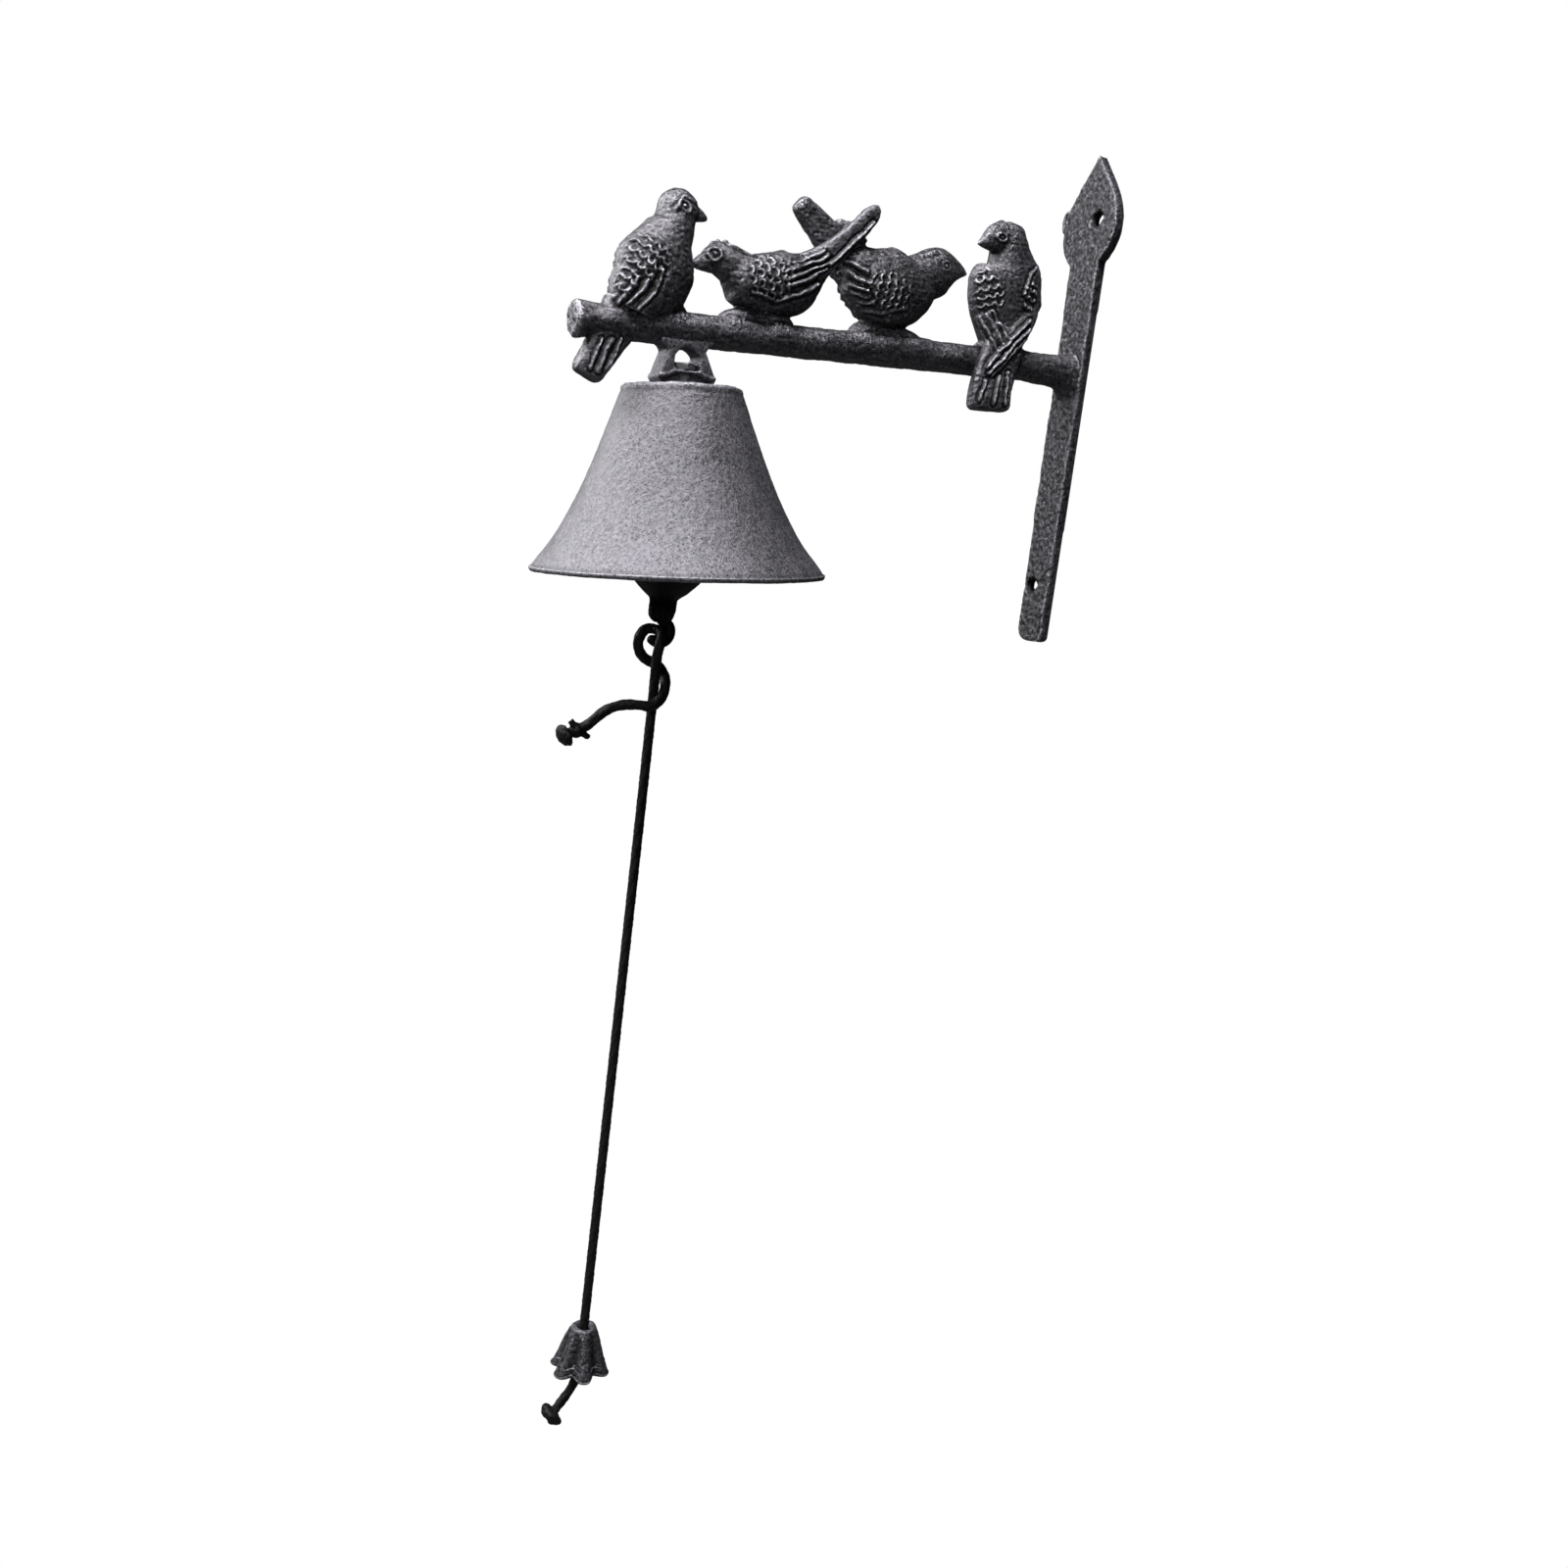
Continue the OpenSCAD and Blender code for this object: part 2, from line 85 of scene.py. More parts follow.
HASH = (73856093, 19349663, 83492791)  # large primes that scatter a cell's corner over the table


def noise(p, cell, seed):
    """Smooth value noise from -1 to 1 at points p (mm), with bumps about one cell wide."""
    table = np.random.default_rng(seed).random(4096) * 2 - 1
    q = np.asarray(p, float) / cell
    base = np.floor(q).astype(np.int64)
    f = q - base
    f = f * f * (3 - 2 * f)
    total = np.zeros(len(q))
    for dx in (0, 1):
        for dy in (0, 1):
            for dz in (0, 1):
                x, y, z = ((base + (dx, dy, dz)) * HASH).T
                wx, wy, wz = np.abs(1 - np.array([dx, dy, dz]) - f).T
                total += wx * wy * wz * table[(x ^ y ^ z) & (len(table) - 1)]
    return total


def cast_grain(p, seed, rough):
    """Height of a sand casting's skin: soft waves, lumps and a few pits."""
    pits = np.minimum(noise(p, 1.5, seed + 3) + 0.45, 0)
    return rough * (0.10 * noise(p, 6, seed) + 0.07 * noise(p, 2.2, seed + 1)
                    + 0.05 * noise(p, 1.0, seed + 2) + 0.22 * pits)


def curve_points(points, step):
    """Catmull-Rom curve through points, with a sample about every step along it."""
    p = np.array(points, float)
    out = []
    for i in range(len(p) - 1):
        a, b, c, d = p[max(i - 1, 0)], p[i], p[i + 1], p[min(i + 2, len(p) - 1)]
        count = max(1, int(round(np.linalg.norm(c[:3] - b[:3]) / step)))
        for k in range(count):
            t = k / count
            out.append(0.5 * (2 * b + (c - a) * t + (2 * a - 5 * b + 4 * c - d) * t * t
                              + (3 * b - a - 3 * c + d) * t ** 3))
    out.append(p[-1])
    return np.array(out)


def profile_points(profile, step):
    """The same for (radius, height) points."""
    return curve_points([(r, z, 0) for r, z in profile], step)[:, :2]


def on_branch(p):
    """Points in the branch's own frame (along it, across it, up from it) to the row frame, in mm."""
    p = np.asarray(p, float)
    return np.stack([-PLATE_T + p[:, 0] * cos(DROOP) - p[:, 2] * sin(DROOP), p[:, 1],
                     BRANCH_Z + p[:, 0] * sin(DROOP) + p[:, 2] * cos(DROOP)], 1)


def off_branch(p):
    """The other way: from the row frame to the branch's own frame."""
    x, z = p[:, 0] + PLATE_T, p[:, 2] - BRANCH_Z
    return np.stack([x * cos(DROOP) + z * sin(DROOP), p[:, 1], -x * sin(DROOP) + z * cos(DROOP)], 1)


# ---------------------------------------------------------------- mesh building

class Shape:
    """Points and faces in mm, grown part by part."""

    def __init__(self, points=(), faces=()):
        self.points = np.array(points, float).reshape(-1, 3)
        self.faces = [tuple(f) for f in faces]

    def add(self, other):
        start = len(self.points)
        self.points = np.concatenate([self.points, other.points])
        self.faces += [tuple(i + start for i in f) for f in other.faces]
        return self

    def normals(self):
        mesh = raw_mesh("normals", self)
        out = np.zeros(len(mesh.vertices) * 3)
        mesh.vertices.foreach_get("normal", out)
        bpy.data.meshes.remove(mesh)
        return out.reshape(-1, 3)

    def push(self, heights):
        """Moves each point along its normal."""
        self.points = self.points + self.normals() * np.asarray(heights)[:, None]
        return self


def raw_mesh(name, shape, scale=1.0):
    mesh = bpy.data.meshes.new(name)
    mesh.from_pydata((shape.points * scale).tolist(), [], shape.faces)
    mesh.update()
    return mesh


def rings(points, sides, loop=False):
    """A skin over rings of points, closed at both ends or, as a loop, from the last ring to the first."""
    count = len(points) // sides
    ring, k = np.meshgrid(np.arange(count if loop else count - 1), np.arange(sides), indexing="ij")
    after, j = (ring + 1) % count, (k + 1) % sides
    here, there = ring * sides, after * sides
    quads = np.stack([here + k, here + j, there + j, there + k], 2).reshape(-1, 4)
    shape = Shape(points, quads.tolist())
    if not loop:
        for first, turn in ((0, 1), ((count - 1) * sides, -1)):
            middle = len(shape.points)
            shape.points = np.vstack([shape.points, shape.points[first:first + sides].mean(0)])
            for k in range(sides):
                pair = (first + (k + 1) % sides, first + k)
                shape.faces.append((*pair[::turn], middle))
    a, b, c, d = (shape.points[quads[:, i]] for i in range(4))
    volume = np.einsum("ij,ij->", a, np.cross(b, c) + np.cross(c, d))  # below zero when inside out
    if volume < 0:
        shape.faces = [f[::-1] for f in shape.faces]
    return shape


def loft(sections, square=2.0):
    """A body along a spine in the branch's side plane; square is 2 for round and more for boxy.

    A section is (along, up, half height, half width, y), and y may be left out for 0.
    """
    sides = 40
    full = [(*row, 0)[:5] for row in sections]
    line = curve_points([(a, b, y, h, w) for a, b, h, w, y in full], 1.0)
    line[:, 3:] = np.maximum(line[:, 3:], 0.05)
    ahead = unit(np.gradient(line[:, :2], axis=0))
    turn = np.linspace(0, 2 * pi, sides, endpoint=False)
    c = np.sign(np.cos(turn)) * np.abs(np.cos(turn)) ** (2 / square)
    w = np.sign(np.sin(turn)) * np.abs(np.sin(turn)) ** (2 / square)
    points = []
    for (a, b, y, high, wide), (ta, tb) in zip(line, ahead):
        points.append(np.stack([a - tb * high * c, y + wide * w, b + ta * high * c], 1))
    return rings(np.concatenate(points), sides)


def lathe(profile, sides, loop=False):
    """Turns (radius, height) points round the vertical."""
    turn = np.linspace(0, 2 * pi, sides, endpoint=False)
    points = [np.stack([r * np.cos(turn), r * np.sin(turn), np.full(sides, z)], 1) for r, z in profile]
    return rings(np.concatenate(points), sides, loop)


def tube(path, radius, sides):
    """A tube along a path; radius is a number or a function of (distance along, angle)."""
    path = np.asarray(path, float)
    ahead = unit(np.gradient(path, axis=0))
    side = np.zeros_like(path)
    side[0] = unit(np.cross(ahead[0], (0.1, 1, 0.2)))
    for i in range(1, len(path)):
        side[i] = unit(side[i - 1] - ahead[i] * np.dot(side[i - 1], ahead[i]))
    other = np.cross(ahead, side)
    along = np.concatenate([[0], np.cumsum(np.linalg.norm(np.diff(path, axis=0), axis=1))])
    turn = np.linspace(0, 2 * pi, sides, endpoint=False)
    if callable(radius):
        radius = radius(along[:, None], turn[None, :])
    r = np.broadcast_to(radius, (len(path), sides))[..., None]
    c, s = np.cos(turn)[None, :, None], np.sin(turn)[None, :, None]
    points = path[:, None] + r * (c * side[:, None] + s * other[:, None])
    return rings(points.reshape(-1, 3), sides)


def remeshed(shape, voxel):
    """The shape's outer skin as an even grid of small faces, with overlapping parts joined."""
    mesh = raw_mesh("source", shape, MM)
    source = bpy.data.objects.new("source", mesh)
    bpy.context.scene.collection.objects.link(source)
    modifier = source.modifiers.new("skin", "REMESH")
    modifier.mode = "VOXEL"
    modifier.voxel_size = voxel * MM
    graph = bpy.context.evaluated_depsgraph_get()
    done = source.evaluated_get(graph).to_mesh()
    points = np.zeros(len(done.vertices) * 3)
    done.vertices.foreach_get("co", points)
    out = Shape(points.reshape(-1, 3) / MM, [tuple(f.vertices) for f in done.polygons])
    bpy.data.objects.remove(source)
    bpy.data.meshes.remove(mesh)
    return out


def smoothed(shape, rounds):
    """Evens the points out, rounding edges."""
    quads = np.array([f if len(f) == 4 else (*f, f[0]) for f in shape.faces])
    a = np.concatenate([quads[:, i] for i in range(4)])
    b = np.concatenate([quads[:, (i + 1) % 4] for i in range(4)])
    near = np.bincount(a, minlength=len(shape.points)) + np.bincount(b, minlength=len(shape.points))
    p = shape.points
    for i in range(rounds):
        mean = np.stack([np.bincount(a, p[b, k], len(p)) + np.bincount(b, p[a, k], len(p))
                         for k in range(3)], 1) / near[:, None]
        p = (p + mean) / 2
    shape.points = p
    return shape


def from_cad(node):
    """A CAD node's own mesh as a Shape, in mm."""
    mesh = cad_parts[node].data
    points = np.zeros(len(mesh.vertices) * 3)
    mesh.vertices.foreach_get("co", points)
    return Shape(points.reshape(-1, 3) / MM, [tuple(f.vertices) for f in mesh.polygons])


def piece(name, shape, material, body, replaces):
    """Makes the Blender object, gives it its material and body, and hides the CAD nodes it stands for."""
    mesh = raw_mesh(name, shape, MM)
    mesh.polygons.foreach_set("use_smooth", [True] * len(mesh.polygons))
    mesh.materials.append(material)
    made = bpy.data.objects.new(name, mesh)
    bpy.context.scene.collection.objects.link(made)
    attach(made, body)
    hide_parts(*replaces)
    return made


# ---------------------------------------------------------------- camera

FOCAL = 1.76  # focal length over half the sensor's width
CAMERA_AT = Vector((-0.3907, -0.4614, -0.0857))
YAW, PITCH, ROLL = radians(30.79), radians(8.32), radians(7.13)


def make_camera():
    forward = Vector((sin(YAW) * cos(PITCH), cos(YAW) * cos(PITCH), -sin(PITCH)))
    level = Vector((cos(YAW), -sin(YAW), 0))
    above = level.cross(forward)
    right = cos(ROLL) * level + sin(ROLL) * above
    up = cos(ROLL) * above - sin(ROLL) * level
    turn = Matrix((right, up, -forward)).transposed().to_4x4()
    data = bpy.data.cameras.new("camera")
    data.sensor_width = 36
    data.lens = data.sensor_width * FOCAL / 2
    data.clip_start = 0.01
    camera = bpy.data.objects.new("camera", data)
    camera.matrix_world = Matrix.Translation(CAMERA_AT) @ turn
    bpy.context.scene.collection.objects.link(camera)
    bpy.context.scene.camera = camera


make_camera()


# ---------------------------------------------------------------- materials

class Nodes:
    """Short names for building a material's node tree."""

    def __init__(self, name):
        self.material = bpy.data.materials.new(name)
        self.material.use_nodes = True
        self.tree = self.material.node_tree
        self.shader = self.tree.nodes["Principled BSDF"]
        self.where = self.tree.nodes.new("ShaderNodeTexCoord").outputs["Object"]

    def link(self, source, target):
        self.tree.links.new(source, target)

    def put(self, value, socket):
        """Links a node's output to the socket, or sets its constant: a number or (red, green, blue)."""
        if isinstance(value, bpy.types.NodeSocket):
            self.link(value, socket)
        else:
            socket.default_value = (*value, 1) if isinstance(value, tuple) else value

    def add(self, kind, **inputs):
        node = self.tree.nodes.new(kind)
        for key, value in inputs.items():
            self.put(value, node.inputs[key])
        return node

    def noise(self, scale, detail, roughness=0.6):
        return self.add("ShaderNodeTexNoise", Vector=self.where, Scale=scale, Detail=detail,
                        Roughness=roughness).outputs["Fac"]

    def ramp(self, value, stops):
        """Colours along a value; a stop is (position, colour), where a number stands for a grey."""
        node = self.add("ShaderNodeValToRGB", Fac=value)
        ramp = node.color_ramp
        while len(ramp.elements) < len(stops):
            ramp.elements.new(0.5)
        for element, (at, colour) in zip(ramp.elements, stops):
            element.position = at
            element.color = (*colour, 1) if isinstance(colour, tuple) else (colour, colour, colour, 1)
        return node.outputs["Color"]

    def mix(self, share, a, b, blend="MIX"):
        node = self.tree.nodes.new("ShaderNodeMix")
        node.data_type = "RGBA"
        node.blend_type = blend
        for key, value in (("Factor_Float", share), ("A_Color", a), ("B_Color", b)):
            self.put(value, next(s for s in node.inputs if s.identifier == key))
        return next(s for s in node.outputs if s.identifier == "Result_Color")

    def math(self, operation, a, b=0.0):
        node = self.tree.nodes.new("ShaderNodeMath")
        node.operation = operation
        for socket, value in zip(node.inputs, (a, b)):
            self.put(value, socket)
        return node.outputs[0]

    def average(self, a, b, share):
        """Two values blended, with the given share of the first."""
        return self.math("ADD", self.math("MULTIPLY", a, share), self.math("MULTIPLY", b, 1 - share))

    def bump(self, height, distance, strength=1.0, before=None):
        node = self.add("ShaderNodeBump", Height=height, Distance=distance, Strength=strength)
        if before is not None:
            self.link(before, node.inputs["Normal"])
        return node.outputs["Normal"]


IRON_TINT = (1.0, 0.955, 1.09)
HOLE_SHADE_SPAN = 10  # mm from a screw hole's middle that the painted hole shade's colour ramp covers


def iron_grey(value):
    return tuple(value * t for t in IRON_TINT)


def iron(name, dark, light, edge, rough, grain, metallic=0.55, specular=0.5, holes=()):
    """Blackened cast iron: dark skin, brighter rubbed edges, sand grain, pits, painted shade in hollows and
    creases, and painted shade inside the screw holes.
    """
    n = Nodes(name)
    broad = n.noise(70, 5, 0.62)
    fine = n.noise(900, 3, 0.7)
    skin = n.ramp(n.average(broad, fine, 0.35), [
        (0.34, iron_grey(dark)), (0.52, iron_grey((dark + light) / 2)), (0.68, iron_grey(light))])
    pointed = n.tree.nodes.new("ShaderNodeNewGeometry").outputs["Pointiness"]
    rubbed = n.ramp(pointed, [(0.49, 0), (0.56, 1)])
    # Painted shade: hollows and creases (low pointiness) are darkened in the colour, standing in for the
    # shade that falls in them.
    painted_crease_shade = n.ramp(pointed, [(0.44, 0.15), (0.495, 1)])
    patchy = n.math("MULTIPLY", rubbed, n.ramp(fine, [(0.35, 0.15), (0.6, 1)]))
    colour = n.mix(patchy, skin, iron_grey(edge))
    n.shader.inputs["Metallic"].default_value = metallic
    n.shader.inputs["Specular IOR Level"].default_value = specular
    shine = n.ramp(n.average(broad, fine, 0.5), [(0.35, rough - 0.1), (0.65, rough + 0.14)])
    n.link(shine, n.shader.inputs["Roughness"])
    sand = n.bump(n.noise(1500, 4, 0.75), 0.00022 * grain)
    pitted = n.add("ShaderNodeTexVoronoi", Vector=n.where, Scale=900.0)
    pits = n.ramp(pitted.outputs["Distance"], [(0.08, 0.02), (0.34, 1)])
    pocked = n.mix(0.9, colour, pits, "MULTIPLY")
    wear_and_painted_shade = n.mix(1.0, pocked, painted_crease_shade, "MULTIPLY")
    # Painted shade: within each screw hole the colour goes nearly black, standing in for the shade inside the
    # hole.
    for hole in holes:
        place = n.add("ShaderNodeSeparateXYZ", Vector=n.where)
        across, up = (n.math("POWER", n.math("SUBTRACT", place.outputs[axis], middle * MM), 2.0)
                      for axis, middle in zip("YZ", hole))
        from_middle = n.math("SQRT", n.math("ADD", across, up))
        share = n.math("MULTIPLY", from_middle, 1 / (HOLE_SHADE_SPAN * MM))
        painted_hole_shade = n.ramp(share, [(3.6 / HOLE_SHADE_SPAN, 0.04), (4.4 / HOLE_SHADE_SPAN, 1)])
        wear_and_painted_shade = n.mix(1.0, wear_and_painted_shade, painted_hole_shade, "MULTIPLY")
    n.link(wear_and_painted_shade, n.shader.inputs["Base Color"])
    lumpy = n.bump(pits, 0.00018 * grain, 0.8, before=sand)
    n.link(n.bump(n.noise(420, 4, 0.65), 0.00060 * grain, before=lumpy), n.shader.inputs["Normal"])
    return n.material


def cord_material():
    """Black nylon braid: fine filaments with a faint sheen."""
    n = Nodes("black_braid")
    fuzz = n.noise(2600, 3, 0.7)
    n.link(n.ramp(fuzz, [(0.35, 0.001), (0.65, (0.004, 0.004, 0.0045))]), n.shader.inputs["Base Color"])
    n.shader.inputs["Roughness"].default_value = 0.62
    n.shader.inputs["Specular IOR Level"].default_value = 0.12
    n.link(n.bump(fuzz, 0.00008, 0.7), n.shader.inputs["Normal"])
    return n.material


IRON = iron("cast_iron", 0.003, 0.026, 0.24, 0.34, 1.0, specular=0.4)
# A darker copy of the bracket's cast iron for the plate: painted shade for the lesser light on the plate's
# face. The weight uses it too.
PLATE_IRON = iron("plate_iron", 0.001, 0.014, 0.18, 0.42, 1.3, specular=0.2, holes=SCREW_HOLES)
BELL_IRON = iron("bell_iron", 0.008, 0.088, 0.20, 0.54, 0.7, 0.6)
BLACK_IRON = iron("black_iron", 0.0005, 0.003, 0.010, 0.45, 0.7, 0.1, 0.07)
BRAID = cord_material()


# ---------------------------------------------------------------- cord

STRANDS, BRAID_LAY = 8, 9.0  # strands each way round the braid, and the length of one full turn


def braid(along, turn):
    """Radius of a round braid: strands pass over and under each other, and the slack tail is fatter."""
    twist = 2 * pi * along / BRAID_LAY
    left, right = STRANDS / 2 * turn + twist, STRANDS / 2 * turn - twist
    strand = np.maximum(np.abs(np.sin(left)) * np.cos(right / 2) ** 2,
                        np.abs(np.sin(right)) * np.sin(left / 2) ** 2)
    slack = 0.14 * (1 - smoothstep(75, 110, along))
    return CORD_R - 0.24 + slack + 0.34 * strand ** 0.7


def melted_end(at, turn, r, seed):
    """The cord's melted end, pressed flat like a mushroom with a ragged rim."""
    profile = [(1.6, 2.4), (1.7, 1.4), (2.1, 0.8), (r * 0.85, 0.2), (r, -0.6), (r * 0.95, -1.8),
               (r * 0.7, -3), (0.3, -3.5)]
    shape = lathe(profile_points(profile, 0.3), 40)
    turned = np.array(Matrix.Rotation(radians(turn), 3, "Y"))
    shape.points = shape.points @ turned.T + np.array(at, float)
    shape = smoothed(remeshed(shape, 0.3), 2)
    return shape.push(0.45 * noise(shape.points, 2.6, seed) + 0.25 * noise(shape.points, 1.1, seed + 1))


def knotted(at, heading, r, ears, seed):
    """A tight overhand knot: a turn of cord round itself, and the ears of cord that stick out of it."""
    at, heading = np.array(at, float), unit(np.array(heading, float))
    side = unit(np.cross(heading, (0, 1, 0)))
    front = np.cross(side, heading)
    wound = [at + heading * (t / 9 - 0.45) * r * 1.1 + (side * cos(t) + front * sin(t)) * r * 0.55
             for t in np.linspace(0, 2.7 * pi, 41)]
    shape = tube(wound, r * 0.48, 14)
    shape.add(tube([at - heading * r, at, at + heading * r], r * 0.6, 14))
    for out, up in ears:
        tip = at + (out, 0, up)
        bend = [at, (at + tip) / 2 + (0, -0.5, 0), tip]
        shape.add(tube(bend, lambda along, turn: 1.45 - 0.06 * along, 12))
    shape = smoothed(remeshed(shape, 0.3), 3)
    return shape.push(0.16 * noise(shape.points, 1.1, seed) + 0.1 * noise(shape.points, 0.6, seed + 1))


def make_cord():
    path = curve_points(CORD_ROUTE, 0.42)
    cord = piece("pull_cord_braid", tube(path, braid, 28), BRAID, "cord", ["pull_cord"])
    tail_end, knot_at, low_end = CORD_ROUTE[0], CORD_ROUTE[1], CORD_ROUTE[-1]
    knot = knotted(knot_at, (-3, 0, -1.2), 2.8, [(-3, 3.4), (4.8, -2.4)], 35)
    stop = knotted((CORD_X, 0, WEIGHT_Z - 8.5), (0, 0, -1), 3.8, [], 45)
    ends = [("tail_mushroom", melted_end(tail_end, 60, 4.5, 31), "tail_tip"),
            ("tail_overhand", knot, "tail_knot"),
            ("low_mushroom", melted_end(low_end, 47, 5, 41), "end_tip"),
            ("stop_overhand", stop, "stop_knot")]
    made = [piece(name, shape, BRAID, "cord", [node]) for name, shape, node in ends]


make_cord()


# ---------------------------------------------------------------- birds

def chain_distance(p, line):
    """Distance of each 2-D point from a chain of straight pieces."""
    best = np.full(len(p), 1e9)
    for a, b in zip(np.array(line[:-1], float), np.array(line[1:], float)):
        along = np.clip((p - a) @ (b - a) / ((b - a) @ (b - a)), 0, 1)
        best = np.minimum(best, np.linalg.norm(p - a - along[:, None] * (b - a), axis=1))
    return best


def ridge(p, line, high, wide):
    """A raised line with a groove on both sides."""
    d = chain_distance(p, line) / wide
    return high * (np.exp(-d ** 2) - 0.55 * np.exp(-(d - 2) ** 2))


FEATHER = 3.1  # one small curled feather's length and width


def scales(p, middle, reach, lean):
    """Rows of curled feathers inside an ellipse; lean is the way the feathers point, in degrees."""
    c, s = cos(radians(lean)), sin(radians(lean))
    q = p - np.array(middle)
    along, across = q[:, 0] * c + q[:, 1] * s, q[:, 1] * c - q[:, 0] * s
    inside = 1 - smoothstep(0.75, 1.1, np.hypot(along / reach[0], across / reach[1]))
    row = np.floor(along / FEATHER)
    u = along / FEATHER - row
    v = across / FEATHER + 0.5 * (row % 2)
    v = v - np.floor(v) - 0.5
    curl = np.exp(-((np.hypot(v, u - 0.3) - 0.4) / 0.12) ** 2) * smoothstep(0.1, 0.45, u)
    return inside * (0.95 * curl - 0.35 * np.exp(-((u - 0.3) ** 2 + v ** 2) / 0.06))


def eye(p, at, high):
    """An almond of two lids round a small pupil."""
    rho = np.linalg.norm((p - np.array(at)) / (2.1, 1.5), axis=1)
    return high * (0.55 * np.exp(-((rho - 1) / 0.3) ** 2) - 0.5 * np.exp(-((rho - 0.55) / 0.25) ** 2)
                   + 0.4 * np.exp(-(rho / 0.3) ** 2))


def ball(at, r):
    """A loft's sections for a ball."""
    a, b = at
    return [(a + r * sin(radians(t)), b, r * cos(radians(t)), r * cos(radians(t)))
            for t in range(-80, 81, 20)]


def toes(a):
    """Three toes that grip the branch in front and three behind."""
    shape = Shape()
    for side in (-1, 1):
        for spread in (-1, 0, 1):
            path = []
            for t in np.linspace(0, 1, 8):
                angle = radians(95 - 88 * t * (1 - 0.15 * abs(spread)))
                r = BRANCH_R + 0.9 - 0.9 * t
                path.append((a + spread * 2.6 * t, side * r * cos(angle), r * sin(angle)))
            shape.add(tube(path, lambda along, turn: 1.35 - 0.5 * along / 9, 12))
    return shape


